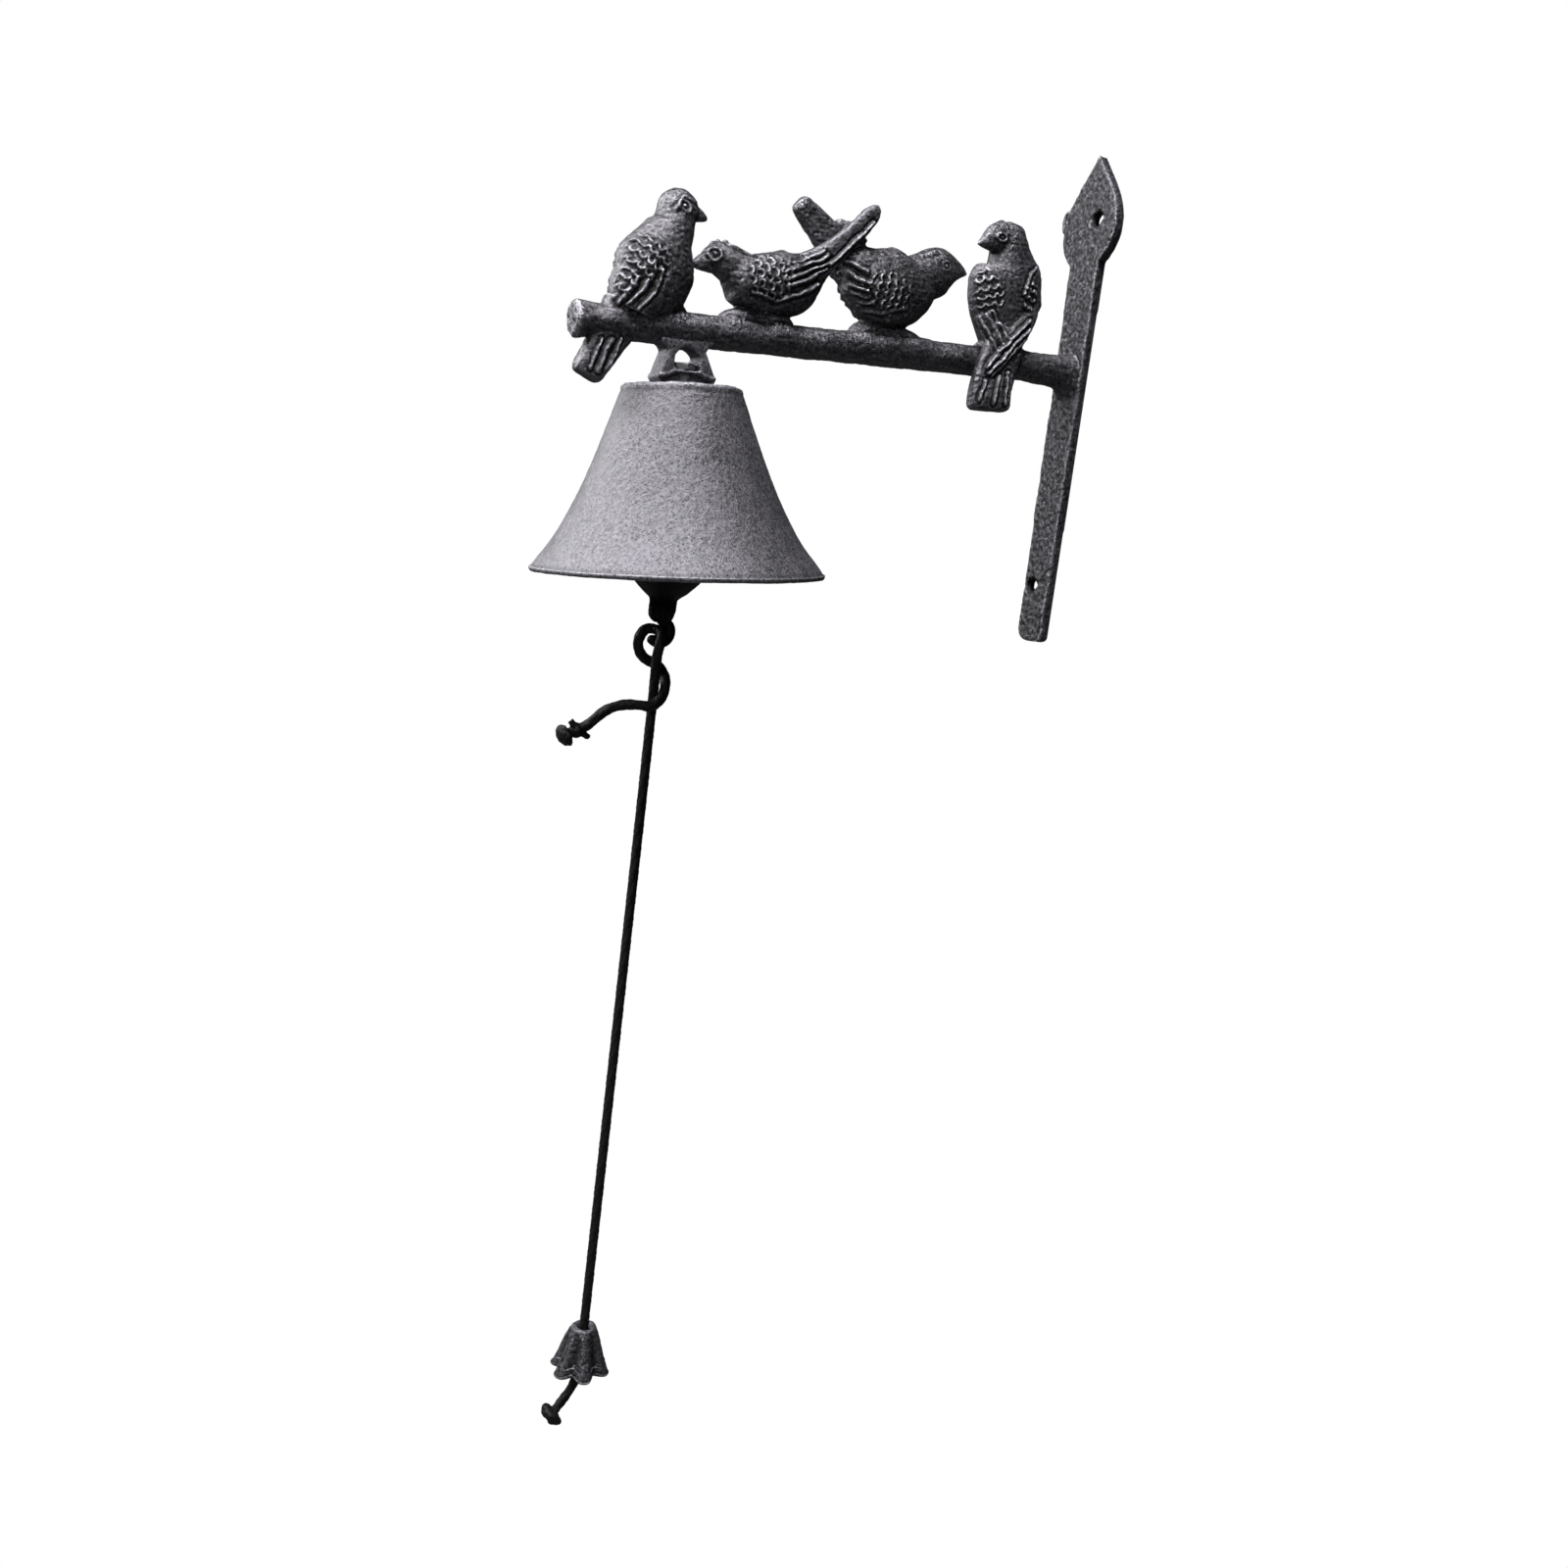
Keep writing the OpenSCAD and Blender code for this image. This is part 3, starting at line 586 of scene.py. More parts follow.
# Each bird in the branch's frame: its lofted bodies and tails, where its toes grip, its eye and how deep
# that is cut, its patches of feathers (middle, reach, lean), and its raised lines with their heights
BIRDS = {
    "upright_bird": dict(
        lofts=[
            [(-196, 3, 8.4, 7.5), (-193.9, 8, 11.6, 9), (-190.8, 12.5, 13.6, 10.2), (-188.9, 16, 14.3, 10.8),
             (-186.8, 21.3, 14.2, 10.8), (-183.7, 28.8, 10.1, 9.4), (-181.5, 32.6, 8.2, 8),
             (-180.3, 36.6, 7.2, 6.9), (-179.4, 40.5, 7.4, 6.4), (-179.1, 43.6, 6.1, 5.2),
             (-178.9, 46.1, 2.4, 2.4)],
            [(-176.5, 39.4, 4.2, 3.6), (-172.9, 38.7, 2.9, 2.4), (-170, 38, 1.8, 1.5),
             (-168, 37.5, 0.7, 0.6)],
            [(-190, 4, 3, 5), (-184.4, 6.2, 3.2, 5.6), (-179.8, 6.1, 2.7, 4.6), (-176.4, 4.9, 1.5, 3)]],
        tails=[[(-199, 6, 7.4, 5), (-202.6, -2, 7.2, 4.6), (-205.4, -6.5, 6.6, 4.3), (-209.4, -12.5, 6, 4),
                (-212.6, -17.4, 5.5, 3.8), (-213.4, -18.8, 4.3, 3)]],
        toes=[-181],
        eye=((-179.4, 39.4), 1),
        scales=[((-194, 21.5), (8, 8.5), -126), ((-202, 12.5), (5, 5), -126)],
        lines=[([(-193.5, 14), (-200.4, 5.3)], 0.8), ([(-197.1, 14), (-202.8, 5.6)], 0.75),
               ([(-189.3, 17), (-192, 10.2), (-197.2, 3.6)], 0.7), ([(-205.6, 12), (-208, 6.5)], 0.5),
               ([(-208.6, -6.6), (-212.6, -16.5)], 0.7), ([(-205.2, -6.3), (-209.4, -17.2)], 0.7),
               ([(-201.6, -6.3), (-206, -16)], 0.6), ([(-183, 38.5), (-179.5, 42.5), (-174.5, 41.7)], 0.35)]),
    "small_bird": dict(
        lofts=[
            [(-160.2, 21, 4.4, 5), (-156.5, 20.3, 8.5, 7.6), (-151.6, 18.5, 10, 8.9), (-145, 18.1, 11.1, 9.6),
             (-138, 19, 11.6, 9.4), (-132.5, 20.5, 11.3, 8.4), (-128, 23.2, 8.8, 7), (-123.8, 25.9, 6.3, 5.4),
             (-119, 28.4, 3.8, 3.6)],
            [(-152, 21.5, 6.4, 6.4), (-156, 22.6, 6.8, 6.2), (-159.5, 24, 6.5, 5.9), (-162.8, 24.9, 5.8, 5.4),
             (-165.8, 25, 4.8, 4.3), (-168.2, 24.4, 3.4, 2.7)],
            [(-165.5, 23.8, 4.2, 3), (-169.6, 23.1, 2.9, 2.2), (-172.2, 22.4, 1.9, 1.3),
             (-173.8, 21.9, 0.8, 0.7)],
            ball((-170.6, 25.2), 0.8), ball((-165.9, 29.9), 1), ball((-163.8, 30.8), 1),
            ball((-160.6, 30.8), 1.2),
            [(-162, 4.5, 1.8, 2.5), (-158.4, 6, 2.6, 4.4), (-154, 6, 3.4, 5), (-148, 6, 3, 4.4),
             (-141, 6, 3.4, 5), (-136, 5.6, 2.8, 4.2), (-133.2, 4.6, 1.6, 2.6)]],
        tails=[[(-129, 25, 6, 5, -2), (-122, 29.4, 5, 3.6, -4), (-115, 35.2, 4.2, 2.6, -5.2),
                (-108.5, 41.2, 3.8, 2.3, -5.6), (-103.6, 46.4, 3.3, 2.1, -5.8), (-102, 49, 2, 1.6, -5.8),
                (-101.7, 50.2, 0.9, 1.1, -5.8)]],
        toes=[-157, -139.5],
        eye=((-166.6, 25.9), 1.2),
        scales=[((-145.5, 20), (9.5, 8), 14)],
        lines=[([(-140, 22.3), (-122.2, 29.7)], 0.75), ([(-139, 19.4), (-121.8, 27.7)], 0.75),
               ([(-139.6, 16.6), (-122.6, 24.9)], 0.65), ([(-136, 25.4), (-124, 31)], 0.6),
               ([(-153, 14), (-144.1, 11.9), (-133.9, 15.1), (-126.1, 19.9)], 0.7),
               ([(-121.4, 26.8), (-103.8, 43.6)], 1.0), ([(-160.5, 30), (-151.5, 27.4)], 0.5)]),
    "crossing_bird": dict(
        lofts=[
            [(-112.8, 31.7, 3.8, 5), (-110.2, 30.6, 6.3, 6.8), (-107, 29, 8.6, 8.4), (-102.4, 26, 12, 10.2),
             (-97, 23.5, 14.6, 11), (-92.5, 22.5, 15.2, 11.2), (-87, 22.5, 14.4, 10.8),
             (-82.5, 23.1, 12.7, 10), (-77.5, 24.6, 10, 8.6), (-74, 26, 7, 6.6)],
            [(-80, 26.5, 9.4, 8.4), (-74.6, 28.6, 9.2, 7.6), (-70.6, 30.4, 9.4, 7), (-67.2, 31.7, 8.7, 6.4),
             (-64, 32.2, 6.9, 5), (-61.2, 32.4, 4.8, 3.6), (-58, 32.2, 2.7, 2.1), (-55.6, 31.8, 1.1, 1),
             (-54.6, 31.7, 0.4, 0.4)],
            [(-107, 4, 1.8, 2.6), (-104, 5.6, 3.4, 4.6), (-99, 6.4, 4.2, 5), (-93, 5.6, 3.6, 5),
             (-88, 5.6, 3.6, 5.2), (-82, 5.4, 3, 5), (-77, 4.4, 2, 3.4), (-73.6, 3.6, 1, 2)]],
        tails=[[(-106, 29, 8.6, 5, 2), (-112, 34, 7, 4, 3), (-118.3, 39.4, 5.8, 3.6, 3),
                (-124, 44.2, 4.7, 3.2, 3), (-128.8, 48.2, 3.7, 2.9, 3), (-130, 49.3, 2.5, 2, 3)],
               [(-104, 36, 4, 4, 2), (-109, 41, 4, 3.4, 2.6), (-111.6, 43.6, 2.6, 2.4, 3),
                (-112, 45.2, 1.2, 1.6, 3)]],
        toes=[-101.5, -87],
        eye=((-68.6, 32.4), 0.45),
        scales=[((-96.5, 20.2), (9.5, 7), 168)],
        lines=[([(-106, 26), (-113.1, 29)], 0.7), ([(-105, 22.4), (-113.5, 25.8)], 0.75),
               ([(-105, 19.8), (-117.4, 23.5)], 0.75), ([(-104.5, 17.4), (-112.9, 19.3)], 0.65),
               ([(-102.5, 15.4), (-110.1, 16.1)], 0.55), ([(-107.5, 12.6), (-96.8, 12.4), (-88, 15)], 0.55),
               ([(-79, 35), (-72.5, 37.5)], 0.4)]),
    "turned_bird": dict(
        lofts=[
            [(-37, 1, 8.2, 7, -1), (-37.1, 6, 8.2, 7.4, -1), (-37.3, 10, 9.8, 8, -1),
             (-37.2, 20, 15.4, 8.8, -1), (-35.7, 27.5, 17.9, 9, -1), (-33.9, 33.6, 14.7, 8.5, -1),
             (-34.2, 37, 11.6, 8, -1), (-35, 41, 9.2, 7.5, -1), (-35.9, 45, 7.8, 7.2, -1),
             (-36.8, 48.2, 7.4, 6.6, -1), (-37.7, 50.9, 5.6, 5, -1), (-38.2, 53, 2, 2, -1)],
            [(-39.5, 46.6, 7.2, 5.4, -1.6), (-44.6, 45.8, 5.4, 4, -2.4), (-48.4, 44.3, 3.1, 2.7, -2.8),
             (-51.2, 43.4, 1.3, 1.3, -3), (-52.6, 43, 0.4, 0.4, -3)],
            [(-26, 25, 3.6, 2.5, -5.2), (-28.2, 19, 4.4, 2.6, -7), (-33.4, 11.5, 4.7, 2.4, -8.8),
             (-40, 4.5, 4.3, 2.2, -10.2), (-47.5, -2.6, 3.5, 2, -11), (-51, -5.6, 2.2, 1.4, -11)],
            [(-50, 17, 4, 2.5, -6), (-47, 9, 3.6, 2.4, -7.6), (-43.6, 1.5, 2.6, 2, -9)]],
        tails=[[(-38.5, 12, 8, 3, -7), (-41, 4, 8.8, 3.2, -8.2), (-44.2, -4, 9.4, 2.8, -9),
                (-46.4, -11, 9.8, 3.2, -9.2), (-47, -16.6, 9.9, 3.6, -9), (-47.1, -19, 9.3, 3.2, -8.8),
                (-47.1, -20, 7.8, 2.2, -8.6)]],
        toes=[-45, -29],
        eye=((-43, 46.4), 1.2),
        near_only=True,
        scales=[((-49, 25), (8.5, 6.5), -75), ((-29.6, 25.6), (7, 4), -105)],
        lines=[([(-52.8, 16), (-45.8, 3.1)], 0.65), ([(-50.1, 17), (-43.3, 6)], 0.65),
               ([(-46.2, 18), (-40.6, 8)], 0.6), ([(-29.3, 15.8), (-40, 7.4), (-51, -3.6)], 0.8),
               ([(-29.9, 12.2), (-40, 4), (-50, -6)], 0.8), ([(-31, 9.2), (-40, 1.8), (-47.8, -6.4)], 0.65),
               ([(-26.5, 36.6), (-31.6, 31.2), (-33.4, 25)], 0.6), ([(-44.8, -7), (-46.8, -17)], 0.8),
               ([(-40.3, -5), (-40.8, -17)], 0.8), ([(-51.4, -9), (-53.6, -16)], 0.7)]),
}


def make_bird(name, spec, seed):
    shape = Shape()
    for sections in spec["lofts"]:
        shape.add(loft(sections))
    for sections in spec["tails"]:
        shape.add(loft(sections, square=3.4))
    for a in spec["toes"]:
        shape.add(toes(a))
    shape = smoothed(remeshed(shape, FINE * 0.8), 5)
    p = shape.points
    flat = p[:, [0, 2]] + 0.7 * np.stack([noise(p, 3.4, seed + 5), noise(p, 3.4, seed + 6)], 1)
    facing = shape.normals()[:, 1]
    sides = smoothstep(0.25, 0.65, -facing if spec.get("near_only") else np.abs(facing))
    relief = eye(flat, *spec["eye"]) + 0.14 * noise(p * (0.5, 0.5, 1), 0.9, seed + 7)
    for middle, reach, lean in spec["scales"]:
        relief += scales(flat, middle, reach, lean) * (0.95 + 0.5 * noise(p, 2.6, seed + 9))
    for line, high in spec["lines"]:
        relief += ridge(flat, line, high * (1 + 0.3 * noise(p, 2, seed + 8)), 0.62)
    shape.push(sides * relief)
    shape.push(cast_grain(shape.points, seed, 1.3))
    shape.points = on_branch(shape.points)
    piece(name + "_cast", shape, IRON, "bracket", [name])


for seed, (bird, spec) in enumerate(BIRDS.items()):
    make_bird(bird, spec, 100 + 10 * seed)


# ---------------------------------------------------------------- branch, plate and lug

KNOBS = [  # bumps on the branch: along, angle from the top toward the front, radius, height
    (-213, 20, 3, 0.3), (-206, 70, 4, 0.5), (-182, 15, 6, 0.9), (-170, 60, 5, 0.5), (-156, 20, 6, 0.9),
    (-139, 40, 5, 0.8), (-121, 80, 5, 0.4), (-103, 25, 5, 1.0), (-95, 60, 4, 0.8), (-88, 35, 5, 1.2),
    (-80, 55, 4, 1.1), (-74, 20, 4, 0.7), (-60, 70, 5, 0.4), (-28, 30, 6, 0.6)]


def make_branch():
    count, sides = ((470, 84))
    face = np.linspace(0.88, 0.08, 7)  # rings across the sawn end, as shares of its radius
    along = np.append(np.linspace(0.3, -BRANCH_LEN, count), [-BRANCH_LEN] * len(face))
    turn = np.linspace(0, 2 * pi, sides, endpoint=False)
    a, t = np.meshgrid(along, turn, indexing="ij")
    r = np.full(a.shape, BRANCH_R)
    from_end = a + BRANCH_LEN
    r += 0.6 * smoothstep(6, 1, from_end) - 1.2 * smoothstep(1.2, 0, from_end)  # a thick end, worn round
    under = np.maximum(-np.cos(t), 0) ** 2
    fillet, swelling = 7 * np.exp(a / 4.2), 0.7 * np.exp(-((a + 13) / 7) ** 2)
    r += 1.4 * np.exp(a / 3.4) + under * (fillet + swelling)
    for at, angle, size, high in KNOBS:
        side = (t - radians(angle) + pi) % (2 * pi) - pi
        r += 1.3 * high * np.exp(-((a - at) / size) ** 2 - (side * BRANCH_R / size) ** 2)
    r[count:] *= face[:, None]
    points = np.stack([a, -r * np.sin(t), r * np.cos(t)], 2).reshape(-1, 3)
    shape = rings(points - (0, 0, 0.3), sides)
    p = shape.points
    bark = noise(p * (0.25, 1, 1), 1.7, 61) + 0.6 * noise(p * (0.4, 1, 1), 0.9, 62)
    end_face = np.minimum(np.exp(-BRANCH_LEN - p[:, 0]), 1)
    shape.push(cast_grain(p, 60, 1.5) + 0.14 * bark + 0.25 * end_face * noise(p, 1.8, 63))
    shape.points = on_branch(shape.points)
    shape.points[:, 0] = np.minimum(shape.points[:, 0], -PLATE_T + 0.6)
    piece("branch_cast", shape, IRON, "bracket", ["branch"])


HOLE_REACH = 4.2  # a screw hole's wall lies within this of its middle
CURL_Y, CURL_Z, CURL_WIDE, CURL_HIGH = 16.4, 76.2, 1.7, 3.9  # the small oval rolled on the leaf's edge


def make_plate():
    shape = from_cad("wall_plate")
    curl = [(-PLATE_T * 0.55, CURL_Y + CURL_WIDE * cos(t), CURL_Z + CURL_HIGH * sin(t))
            for t in (k * pi / 12 for k in range(25))]
    shape.add(tube(curl, 1.15, 12))
    shape = smoothed(remeshed(shape, FINE), 7)
    p = shape.points
    front = smoothstep(0.3, 0.9, -shape.normals()[:, 0])
    outer = np.abs(shape.normals()[:, 0]) < 0.5
    rough = 2.0 * front + 1.3 * outer
    lumps = 0.24 * noise(p, 3.2, 52) + 0.2 * noise(p, 1.3, 53)
    wavy = 0.35 * noise(p, 14, 54) * outer
    bore = np.zeros(len(p))
    for hole_y, hole_z in SCREW_HOLES:
        bore += 0.5 * outer * (np.hypot(p[:, 1] - hole_y, p[:, 2] - hole_z) < HOLE_REACH)
    keep_back = smoothstep(-0.15, -0.8, p[:, 0])
    shape.push(keep_back * (cast_grain(p, 50, rough) + front * lumps + wavy + bore))
    shape.points[:, 0] = np.minimum(shape.points[:, 0], 0)
    # The plate takes the darker copy of the cast iron: painted shade.
    piece("plate_cast", shape, PLATE_IRON, "bracket", ["wall_plate"])


CORNER_A, CORNER_Z, CORNER_R = 2.3, -9, 3.4  # arc that rounds the far upper corner of the lug's window


def make_lug():
    """The lug, with the window's far corner rounded and its foot stepped in below a low arch."""
    shape = from_cad("bell_lug")
    corner = [(CORNER_A - BELL_OUT + CORNER_R * cos(t), LUG_T / 2 - 0.9, CORNER_Z + CORNER_R * sin(t))
              for t in np.radians(range(-50, 131, 10))]
    rounding = tube(corner, 0.95, 12)
    rounding.points = on_branch(rounding.points)
    shape.add(rounding)
    shape = smoothed(remeshed(shape, FINE * 0.8), 6)
    p = off_branch(shape.points)
    arch = -16.9 + 2.4 * np.exp(-((p[:, 0] + BELL_OUT) / 6.5) ** 4)
    face = smoothstep(0.3, 0.8, np.abs(shape.normals()[:, 1]))
    sill = 0.5 * np.exp(-((p[:, 2] - arch - 0.5) / 0.6) ** 2)
    shape.push(face * (sill - 1.3 * smoothstep(arch, arch - 1.2, p[:, 2])) + cast_grain(shape.points, 80, 1.3)
               + 0.12 * noise(shape.points, 3, 84))
    # The lug takes the bell's lighter iron, a lit copy of the bracket's cast iron standing in for the full
    # light on the lug: painted light.
    piece("lug_cast", shape, BELL_IRON, "bracket", ["bell_lug"])


make_branch()
make_plate()
make_lug()


# ---------------------------------------------------------------- bell

FLARE_FULLNESS = 0.9  # how far the flare bulges past the plain curve, mm
LIP_R = 1.4


def bell_radius(h):
    """The outside's radius at a depth below the crown."""
    t = h / BELL_H
    curve = CROWN_R + (MOUTH_R - CROWN_R) * (CONE_SHARE * t + (1 - CONE_SHARE) * t ** FLARE_POWER)
    return min(curve + FLARE_FULLNESS * sin(pi * smoothstep(0.78, 1.1, t)), MOUTH_R)


def make_bell():
    step = 0.62
    depths = np.arange(3.4, BELL_H - 1.8, step)
    profile = [(2.8, -CROWN_T), (2.75, -0.3), (3.4, 0)]
    profile += [(r, 0) for r in np.arange(4.6, CROWN_R - 2.2, 1.1)]
    profile += [(CROWN_R - 1.3, 0.1), (CROWN_R - 0.2, 0), (CROWN_R + 0.5, -0.6), (CROWN_R + 0.75, -1.5),
                (CROWN_R + 0.75, -2.3)]
    profile += [(bell_radius(h), -h) for h in depths]
    profile += [(MOUTH_R - LIP_R + 1.25 * cos(radians(t)), LIP_R - BELL_H + LIP_R * sin(radians(t)))
                for t in range(25, -181, -15)]
    profile += [(bell_radius(h) - WALL_T, -h) for h in depths[::-3] if h > CROWN_T + 1]
    inner_r = bell_radius(CROWN_T) - WALL_T
    profile += [(inner_r - 1.2, -CROWN_T)]
    profile += [(r, -CROWN_T) for r in np.arange(inner_r - 3, 4, -2)]
    sides = 380
    shape = lathe(profile, sides, loop=True)
    p = shape.points
    low = smoothstep(-BELL_H + 5, -BELL_H, p[:, 2])
    uneven = 0.25 * noise(p, 22, 24) * (1 - low) - 0.12 * low * (1 + noise(p, 9, 26))
    top = smoothstep(-3.5, -1, p[:, 2]) * smoothstep(12, 17, np.hypot(p[:, 0], p[:, 1]))
    shape.push(cast_grain(p, 20, 0.85) + uneven + top * 0.3 * noise(p, 2.4, 27) - 0.1)
    centre = on_branch([[-BELL_OUT, 0, -BELL_DROP]])[0]
    lean = np.array(Matrix.Rotation(-DROOP, 3, "Y"))
    shape.points = shape.points @ lean.T + centre
    piece("bell_cast", shape, BELL_IRON, "bracket", ["bell_shell"])


make_bell()


# ---------------------------------------------------------------- weight

def make_weight():
    """A lobed bell flower; a row of its profile is (radius, depth of the hollows, height)."""
    rows = [(2.9, 0.0, 0), (3.2, 0.0, 0.3), (4.0, 0.05, 0.45), (4.9, 0.15, 0.1), (5.4, 0.3, -0.8)]
    for t in np.linspace(0.08, 0.93, 26):
        radius = WEIGHT_TOP_R + (WEIGHT_FOOT_R - WEIGHT_TOP_R) * t + 0.5 * (1 - t)
        rows.append((radius, 0.4 + 2.9 * t, -WEIGHT_H * t))
    rows += [(12.0, 3.2, -17.2), (11.6, 3.1, -17.9), (10.5, 2.6, -18.3), (8.8, 1.8, -17.9),
             (7.2, 1.0, -16.5), (5.6, 0.4, -9), (4.4, 0, -4.5), (2.9, 0, -3.2)]
    sides = 240
    turn = np.linspace(0, 2 * pi, sides, endpoint=False)
    hollow = ((1 - np.cos(LOBES * (turn - radians(18)))) / 2) ** 1.4
    line = curve_points(rows, 0.35)
    points = [np.stack([(r - f * hollow) * np.cos(turn), (r - f * hollow) * np.sin(turn),
                        z + 0.35 * f * hollow * (z < -14)], 1) for r, f, z in line]
    shape = rings(np.concatenate(points), sides, loop=True)
    shape.push(cast_grain(shape.points, 90, 1.2) + 0.12 * noise(shape.points, 2.6, 95))
    shape.points = shape.points + (CORD_X, 0, WEIGHT_Z)
    piece("weight_cast", shape, PLATE_IRON, "weight", ["pull_weight"])


make_weight()


# ---------------------------------------------------------------- bolt, nuts, link and clapper

EYE_R, EYE_WIRE, BOLT_R = 5, 4, 2.5
THREAD_PITCH, THREAD_DEPTH = 0.8, 0.34
EYE_X, LINK_TOP, CLAPPER_Z, HOOK_Z = -176.22, -43.44, -52.34, -109.54  # where the moving parts hang
HOOK_R = 4.05
CLAMP = np.array([-BELL_OUT, 0, 0])  # where the bolt's line crosses the branch's, in the branch's frame


def hex_nut(low, high):
    """A hexagonal nut between two heights, with corners rounded at both faces, and its hole."""
    sides = 96
    turn = np.linspace(0, 2 * pi, sides, endpoint=False)
    hexagon = NUT_FLATS / 2 / np.cos((turn + pi / 6) % (pi / 3) - pi / 6)
    corner = NUT_FLATS / 2 * 1.06
    rim = [(0, corner - 0.25), (0.12, corner), (0.5, corner + 0.5), (0.8, 9)]  # depth, and radius cut to
    rows = [(np.minimum(hexagon, limit), low + z) for z, limit in rim]
    rows += [(np.minimum(hexagon, limit), high - z) for z, limit in rim[::-1]]
    rows += [(3.0, high), (2.45, high - 0.5), (2.45, low + 0.5), (3.0, low)]
    points = [np.stack([r * np.cos(turn), r * np.sin(turn), np.full(sides, z)], 1) for r, z in rows]
    shape = rings(np.concatenate(points), sides, loop=True)
    shape.points = on_branch(shape.points + CLAMP)
    return shape


def make_hardware():
    def thread(along, turn):
        turns = along / THREAD_PITCH + turn / (2 * pi)
        return BOLT_R - 0.05 - THREAD_DEPTH * np.abs(2 * (turns - np.floor(turns)) - 1)

    straight = [(0, 0, z) for z in np.arange(WINDOW_NUT[1], EYE_R - EYE_DROP, -0.14)]
    shape = tube(straight, thread, 28)
    loop = [(EYE_R * sin(radians(t)), 0, EYE_R * cos(radians(t)) - EYE_DROP) for t in range(0, 352, 6)]
    shape.add(tube(loop, EYE_WIRE / 2 - 0.03, 20))
    shape.points = on_branch(shape.points + CLAMP)
    shape.push(0.03 * noise(shape.points, 1.2, 141))
    piece("eye_bolt_steel", shape, BLACK_IRON, "bracket", ["eye_bolt"])
    # The window nut takes the bell's lighter iron in place of the black of the other hardware, a lit copy
    # standing in for the light on the nut: painted light.
    piece("window_nut_steel", hex_nut(*WINDOW_NUT), BELL_IRON, "bracket", ["window_nut"])
    piece("bell_nut_steel", hex_nut(*BELL_NUT), BLACK_IRON, "bracket", ["bell_nut"])
    washer = lathe([(2.8, 0.2), (3.1, 0), (5.1, 0), (5.45, 0.2), (5.45, 0.8), (5.1, 1), (3.1, 1), (2.8, 0.8)],
                   64, loop=True)
    washer.points = on_branch(washer.points + CLAMP + (0, 0, BELL_NUT[1]))
    piece("washer_steel", washer, BLACK_IRON, "bracket", ["bell_washer"])


def make_link():
    """A closed oval link across the eye."""
    path, wire_r, bend, straight = [], 1.5, 4.5, 3.0
    for t in range(0, 361, 9):
        down = -straight if 90 < t <= 270 else 0
        path.append((EYE_X, bend * sin(radians(t)), LINK_TOP - bend + down + bend * cos(radians(t))))
    shape = tube(path, lambda along, turn: wire_r - 0.03 + 0.02 * np.sin(along * 3 + turn), 22)
    shape.push(0.03 * noise(shape.points, 1.0, 151))
    piece("link_wire", shape, BLACK_IRON, "link", ["clapper_link"])


BOB_PROFILE = [  # the clapper's bob: radius, and depth below CLAPPER_Z
    (0.2, 20), (3, 20.1), (5, 22), (7.4, 25), (9.5, 28), (11.8, 30.6), (13.2, 32.6), (13.5, 34.4),
    (13.4, 36.1), (12.8, 38), (10.9, 40.2), (8.6, 42.4), (6.5, 44.1), (5.5, 45), (5.1, 46.2), (5.0, 48.5),
    (4.9, 50.2), (4.6, 51.6), (3.7, 53), (2.3, 53.9), (0.3, 54.1)]


def make_clapper():
    ring = [(EYE_X + 4 * sin(radians(t)), 0, CLAPPER_Z - 4 + 4 * cos(radians(t))) for t in range(180, 532, 8)]
    shape = tube(ring, 1.47, 20)
    shape.add(tube([(EYE_X, 0, z) for z in np.arange(CLAPPER_Z - 8, CLAPPER_Z - 22, -1)], 1.95, 20))
    shape.push(0.03 * noise(shape.points, 1, 161))
    piece("clapper_eye_wire", shape, BLACK_IRON, "clapper", ["clapper_eye"])

    bob = lathe(profile_points([(r, -z) for r, z in BOB_PROFILE], 0.4), 120)
    bob.points = bob.points + (EYE_X, 0, CLAPPER_Z)
    p = bob.points
    neck = smoothstep(CLAPPER_Z - 43.5, CLAPPER_Z - 45.5, p[:, 2])
    turn = np.arctan2(p[:, 1], p[:, 0] - EYE_X)
    bob.push(cast_grain(p, 165, 1.0) - 0.35 * neck * np.cos(6 * turn) ** 2 + 0.25 * neck * noise(p, 2.2, 169))
    piece("clapper_cast", bob, BLACK_IRON, "clapper", ["clapper_bob"])

    hook = [(EYE_X, 0, HOOK_Z + 5.8), (EYE_X, 0, HOOK_Z + 4.9)]
    hook += [(EYE_X + HOOK_R * cos(radians(t)), 0, HOOK_Z + HOOK_R * sin(radians(t)))
             for t in range(84, -158, -6)]
    total = np.linalg.norm(np.diff(np.array(hook), axis=0), axis=1).sum()
    shape = tube(hook, lambda along, turn: 2.02 * np.sqrt(np.clip((total - along) / 1.3, 0.02, 1)), 22)
    shape.push(0.05 * noise(shape.points, 1.4, 171))
    piece("hook_wire", shape, BLACK_IRON, "clapper", ["cord_hook"])


make_hardware()
make_link()
make_clapper()


# ---------------------------------------------------------------- room and light

ROOM_LIGHT = 0.012
FLOOR_REACH, FLOOR_Z = 6, -0.8
LIGHTS_AIM = Vector((-0.15, 0, -0.02))
LIGHTS = [  # name, place, width and height, watts
    ("key", (-1.0, 0.25, 0.8), (0.7, 0.7), 46),
    ("rim", (-0.9, 0.95, 0.35), (0.3, 0.5), 15),
    ("top", (-0.4, -0.4, 1.1), (0.3, 0.3), 42),
    ("front", (-1.0, -0.9, 0.35), (0.3, 0.5), 8)]


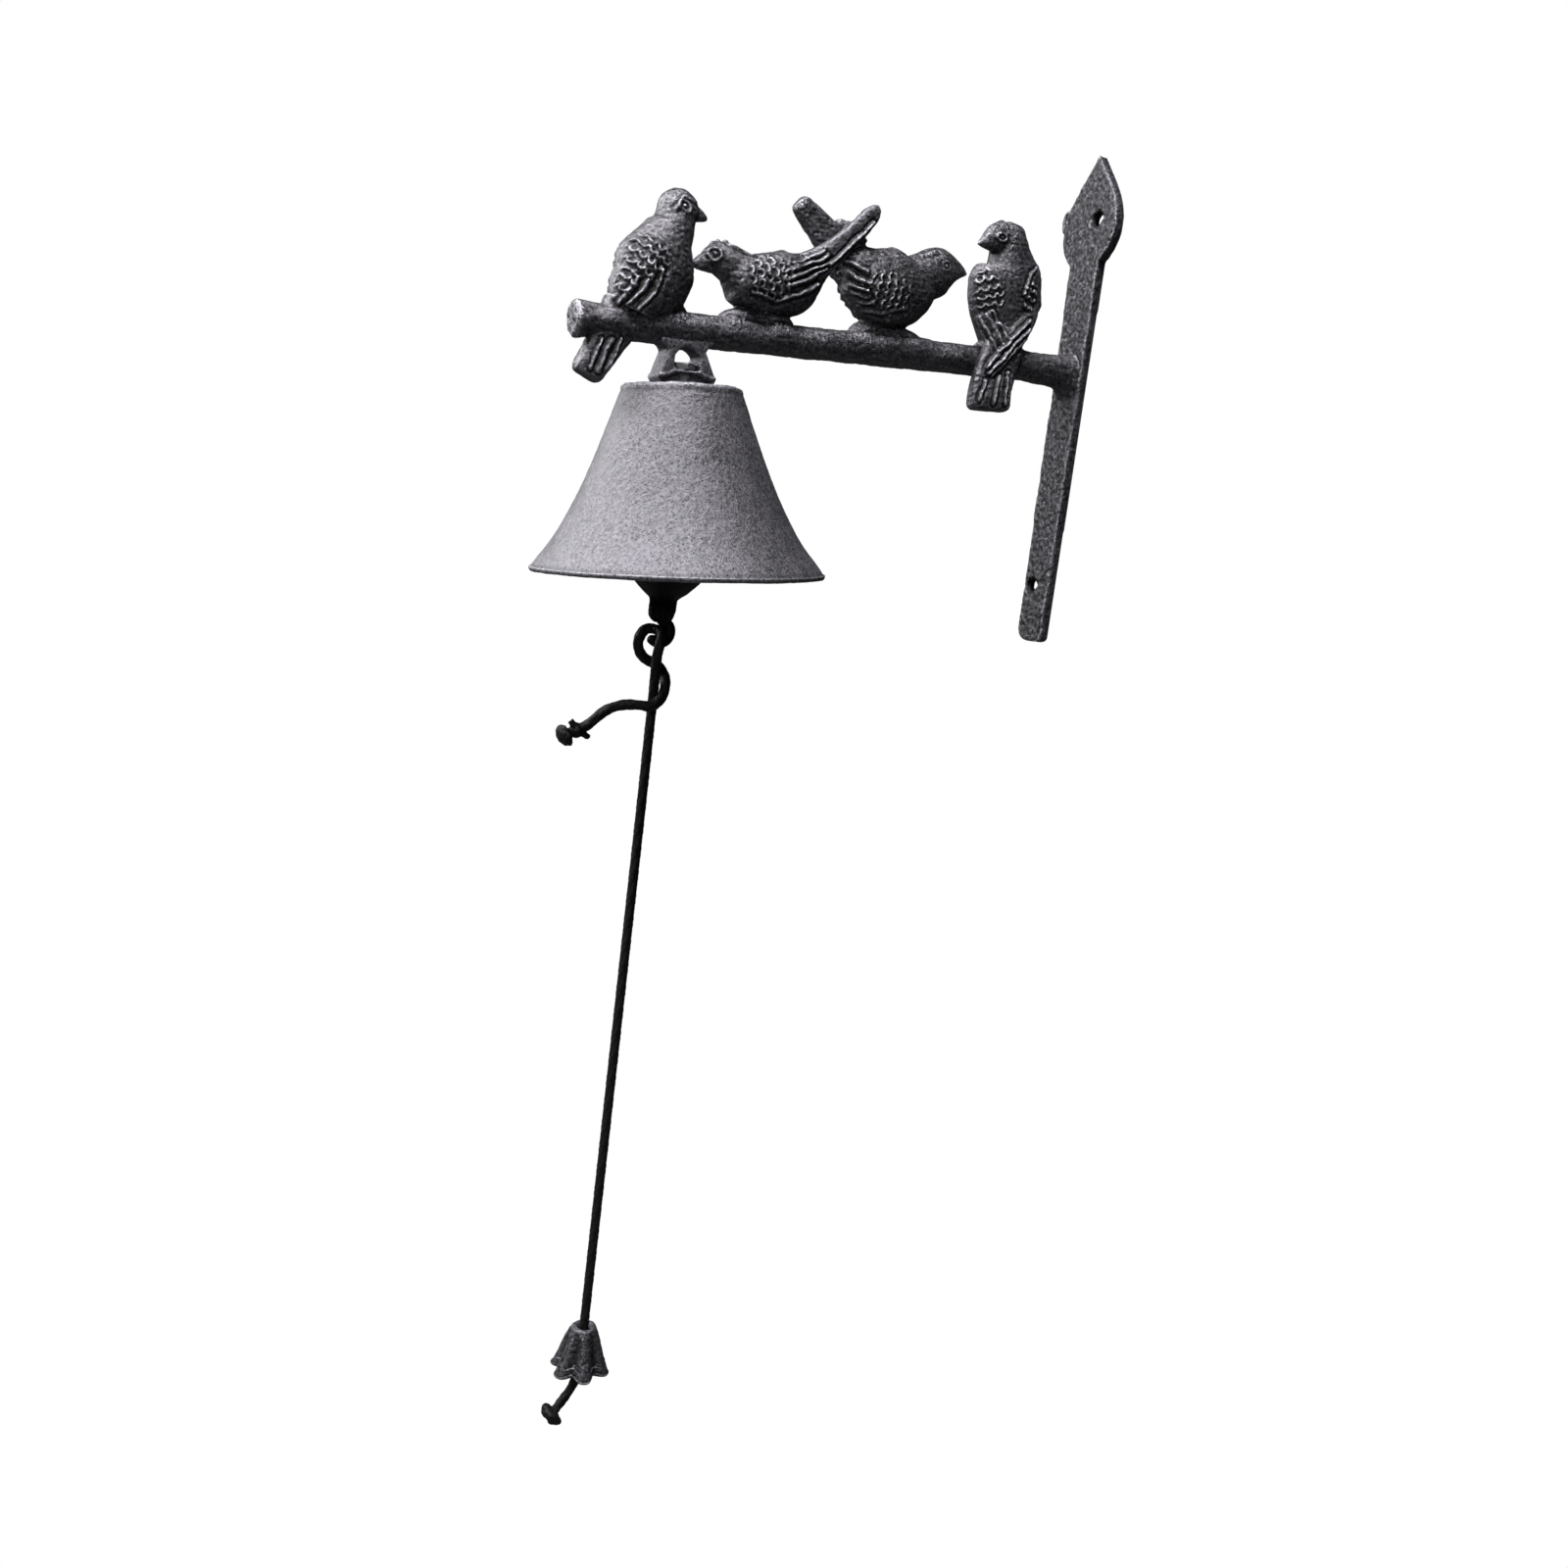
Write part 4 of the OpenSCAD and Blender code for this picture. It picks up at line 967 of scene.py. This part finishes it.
def white_to_the_eye(tree, shader, output):
    """Shows plain white straight from the camera, and the given shader to everything else."""
    seen = tree.nodes.new("ShaderNodeLightPath").outputs["Is Camera Ray"]
    white = tree.nodes.new("ShaderNodeBackground" if output.type == "OUTPUT_WORLD" else "ShaderNodeEmission")
    white.inputs["Color"].default_value = (1, 1, 1, 1)
    white.inputs["Strength"].default_value = 1.0
    both = tree.nodes.new("ShaderNodeMixShader")
    tree.links.new(seen, both.inputs[0])
    tree.links.new(shader, both.inputs[1])
    tree.links.new(white.outputs[0], both.inputs[2])
    tree.links.new(both.outputs[0], output.inputs["Surface"])


def make_room():
    mesh = bpy.data.meshes.new("floor")
    corners = [(x * FLOOR_REACH, y * FLOOR_REACH, FLOOR_Z) for x, y in ((-1, -1), (1, -1), (1, 1), (-1, 1))]
    mesh.from_pydata(corners, [], [(0, 1, 2, 3)])
    floor = bpy.data.objects.new("floor", mesh)
    bpy.context.scene.collection.objects.link(floor)
    n = Nodes("pale_floor")
    n.link(n.ramp(n.noise(3, 2), [(0.3, 0.10), (0.7, 0.12)]), n.shader.inputs["Base Color"])
    n.shader.inputs["Roughness"].default_value = 0.9
    white_to_the_eye(n.tree, n.shader.outputs[0], n.tree.nodes["Material Output"])
    mesh.materials.append(n.material)
    world = bpy.data.worlds.new("soft_room")
    world.use_nodes = True
    tree = world.node_tree
    dim = tree.nodes["Background"]
    dim.inputs["Color"].default_value = (1, 1, 1, 1)
    dim.inputs["Strength"].default_value = ROOM_LIGHT
    white_to_the_eye(tree, dim.outputs[0], tree.nodes["World Output"])
    bpy.context.scene.world = world


def area_light(name, at, size, power):
    data = bpy.data.lights.new(name, "AREA")
    data.shape = "RECTANGLE"
    data.size, data.size_y = size
    data.energy = power
    light = bpy.data.objects.new(name, data)
    turn = (Vector(at) - LIGHTS_AIM).to_track_quat("Z", "Y").to_matrix().to_4x4()
    light.matrix_world = Matrix.Translation(Vector(at)) @ turn
    bpy.context.scene.collection.objects.link(light)


make_room()
for light in LIGHTS:
    area_light(*light)
bpy.context.scene.view_settings.view_transform = "Standard"
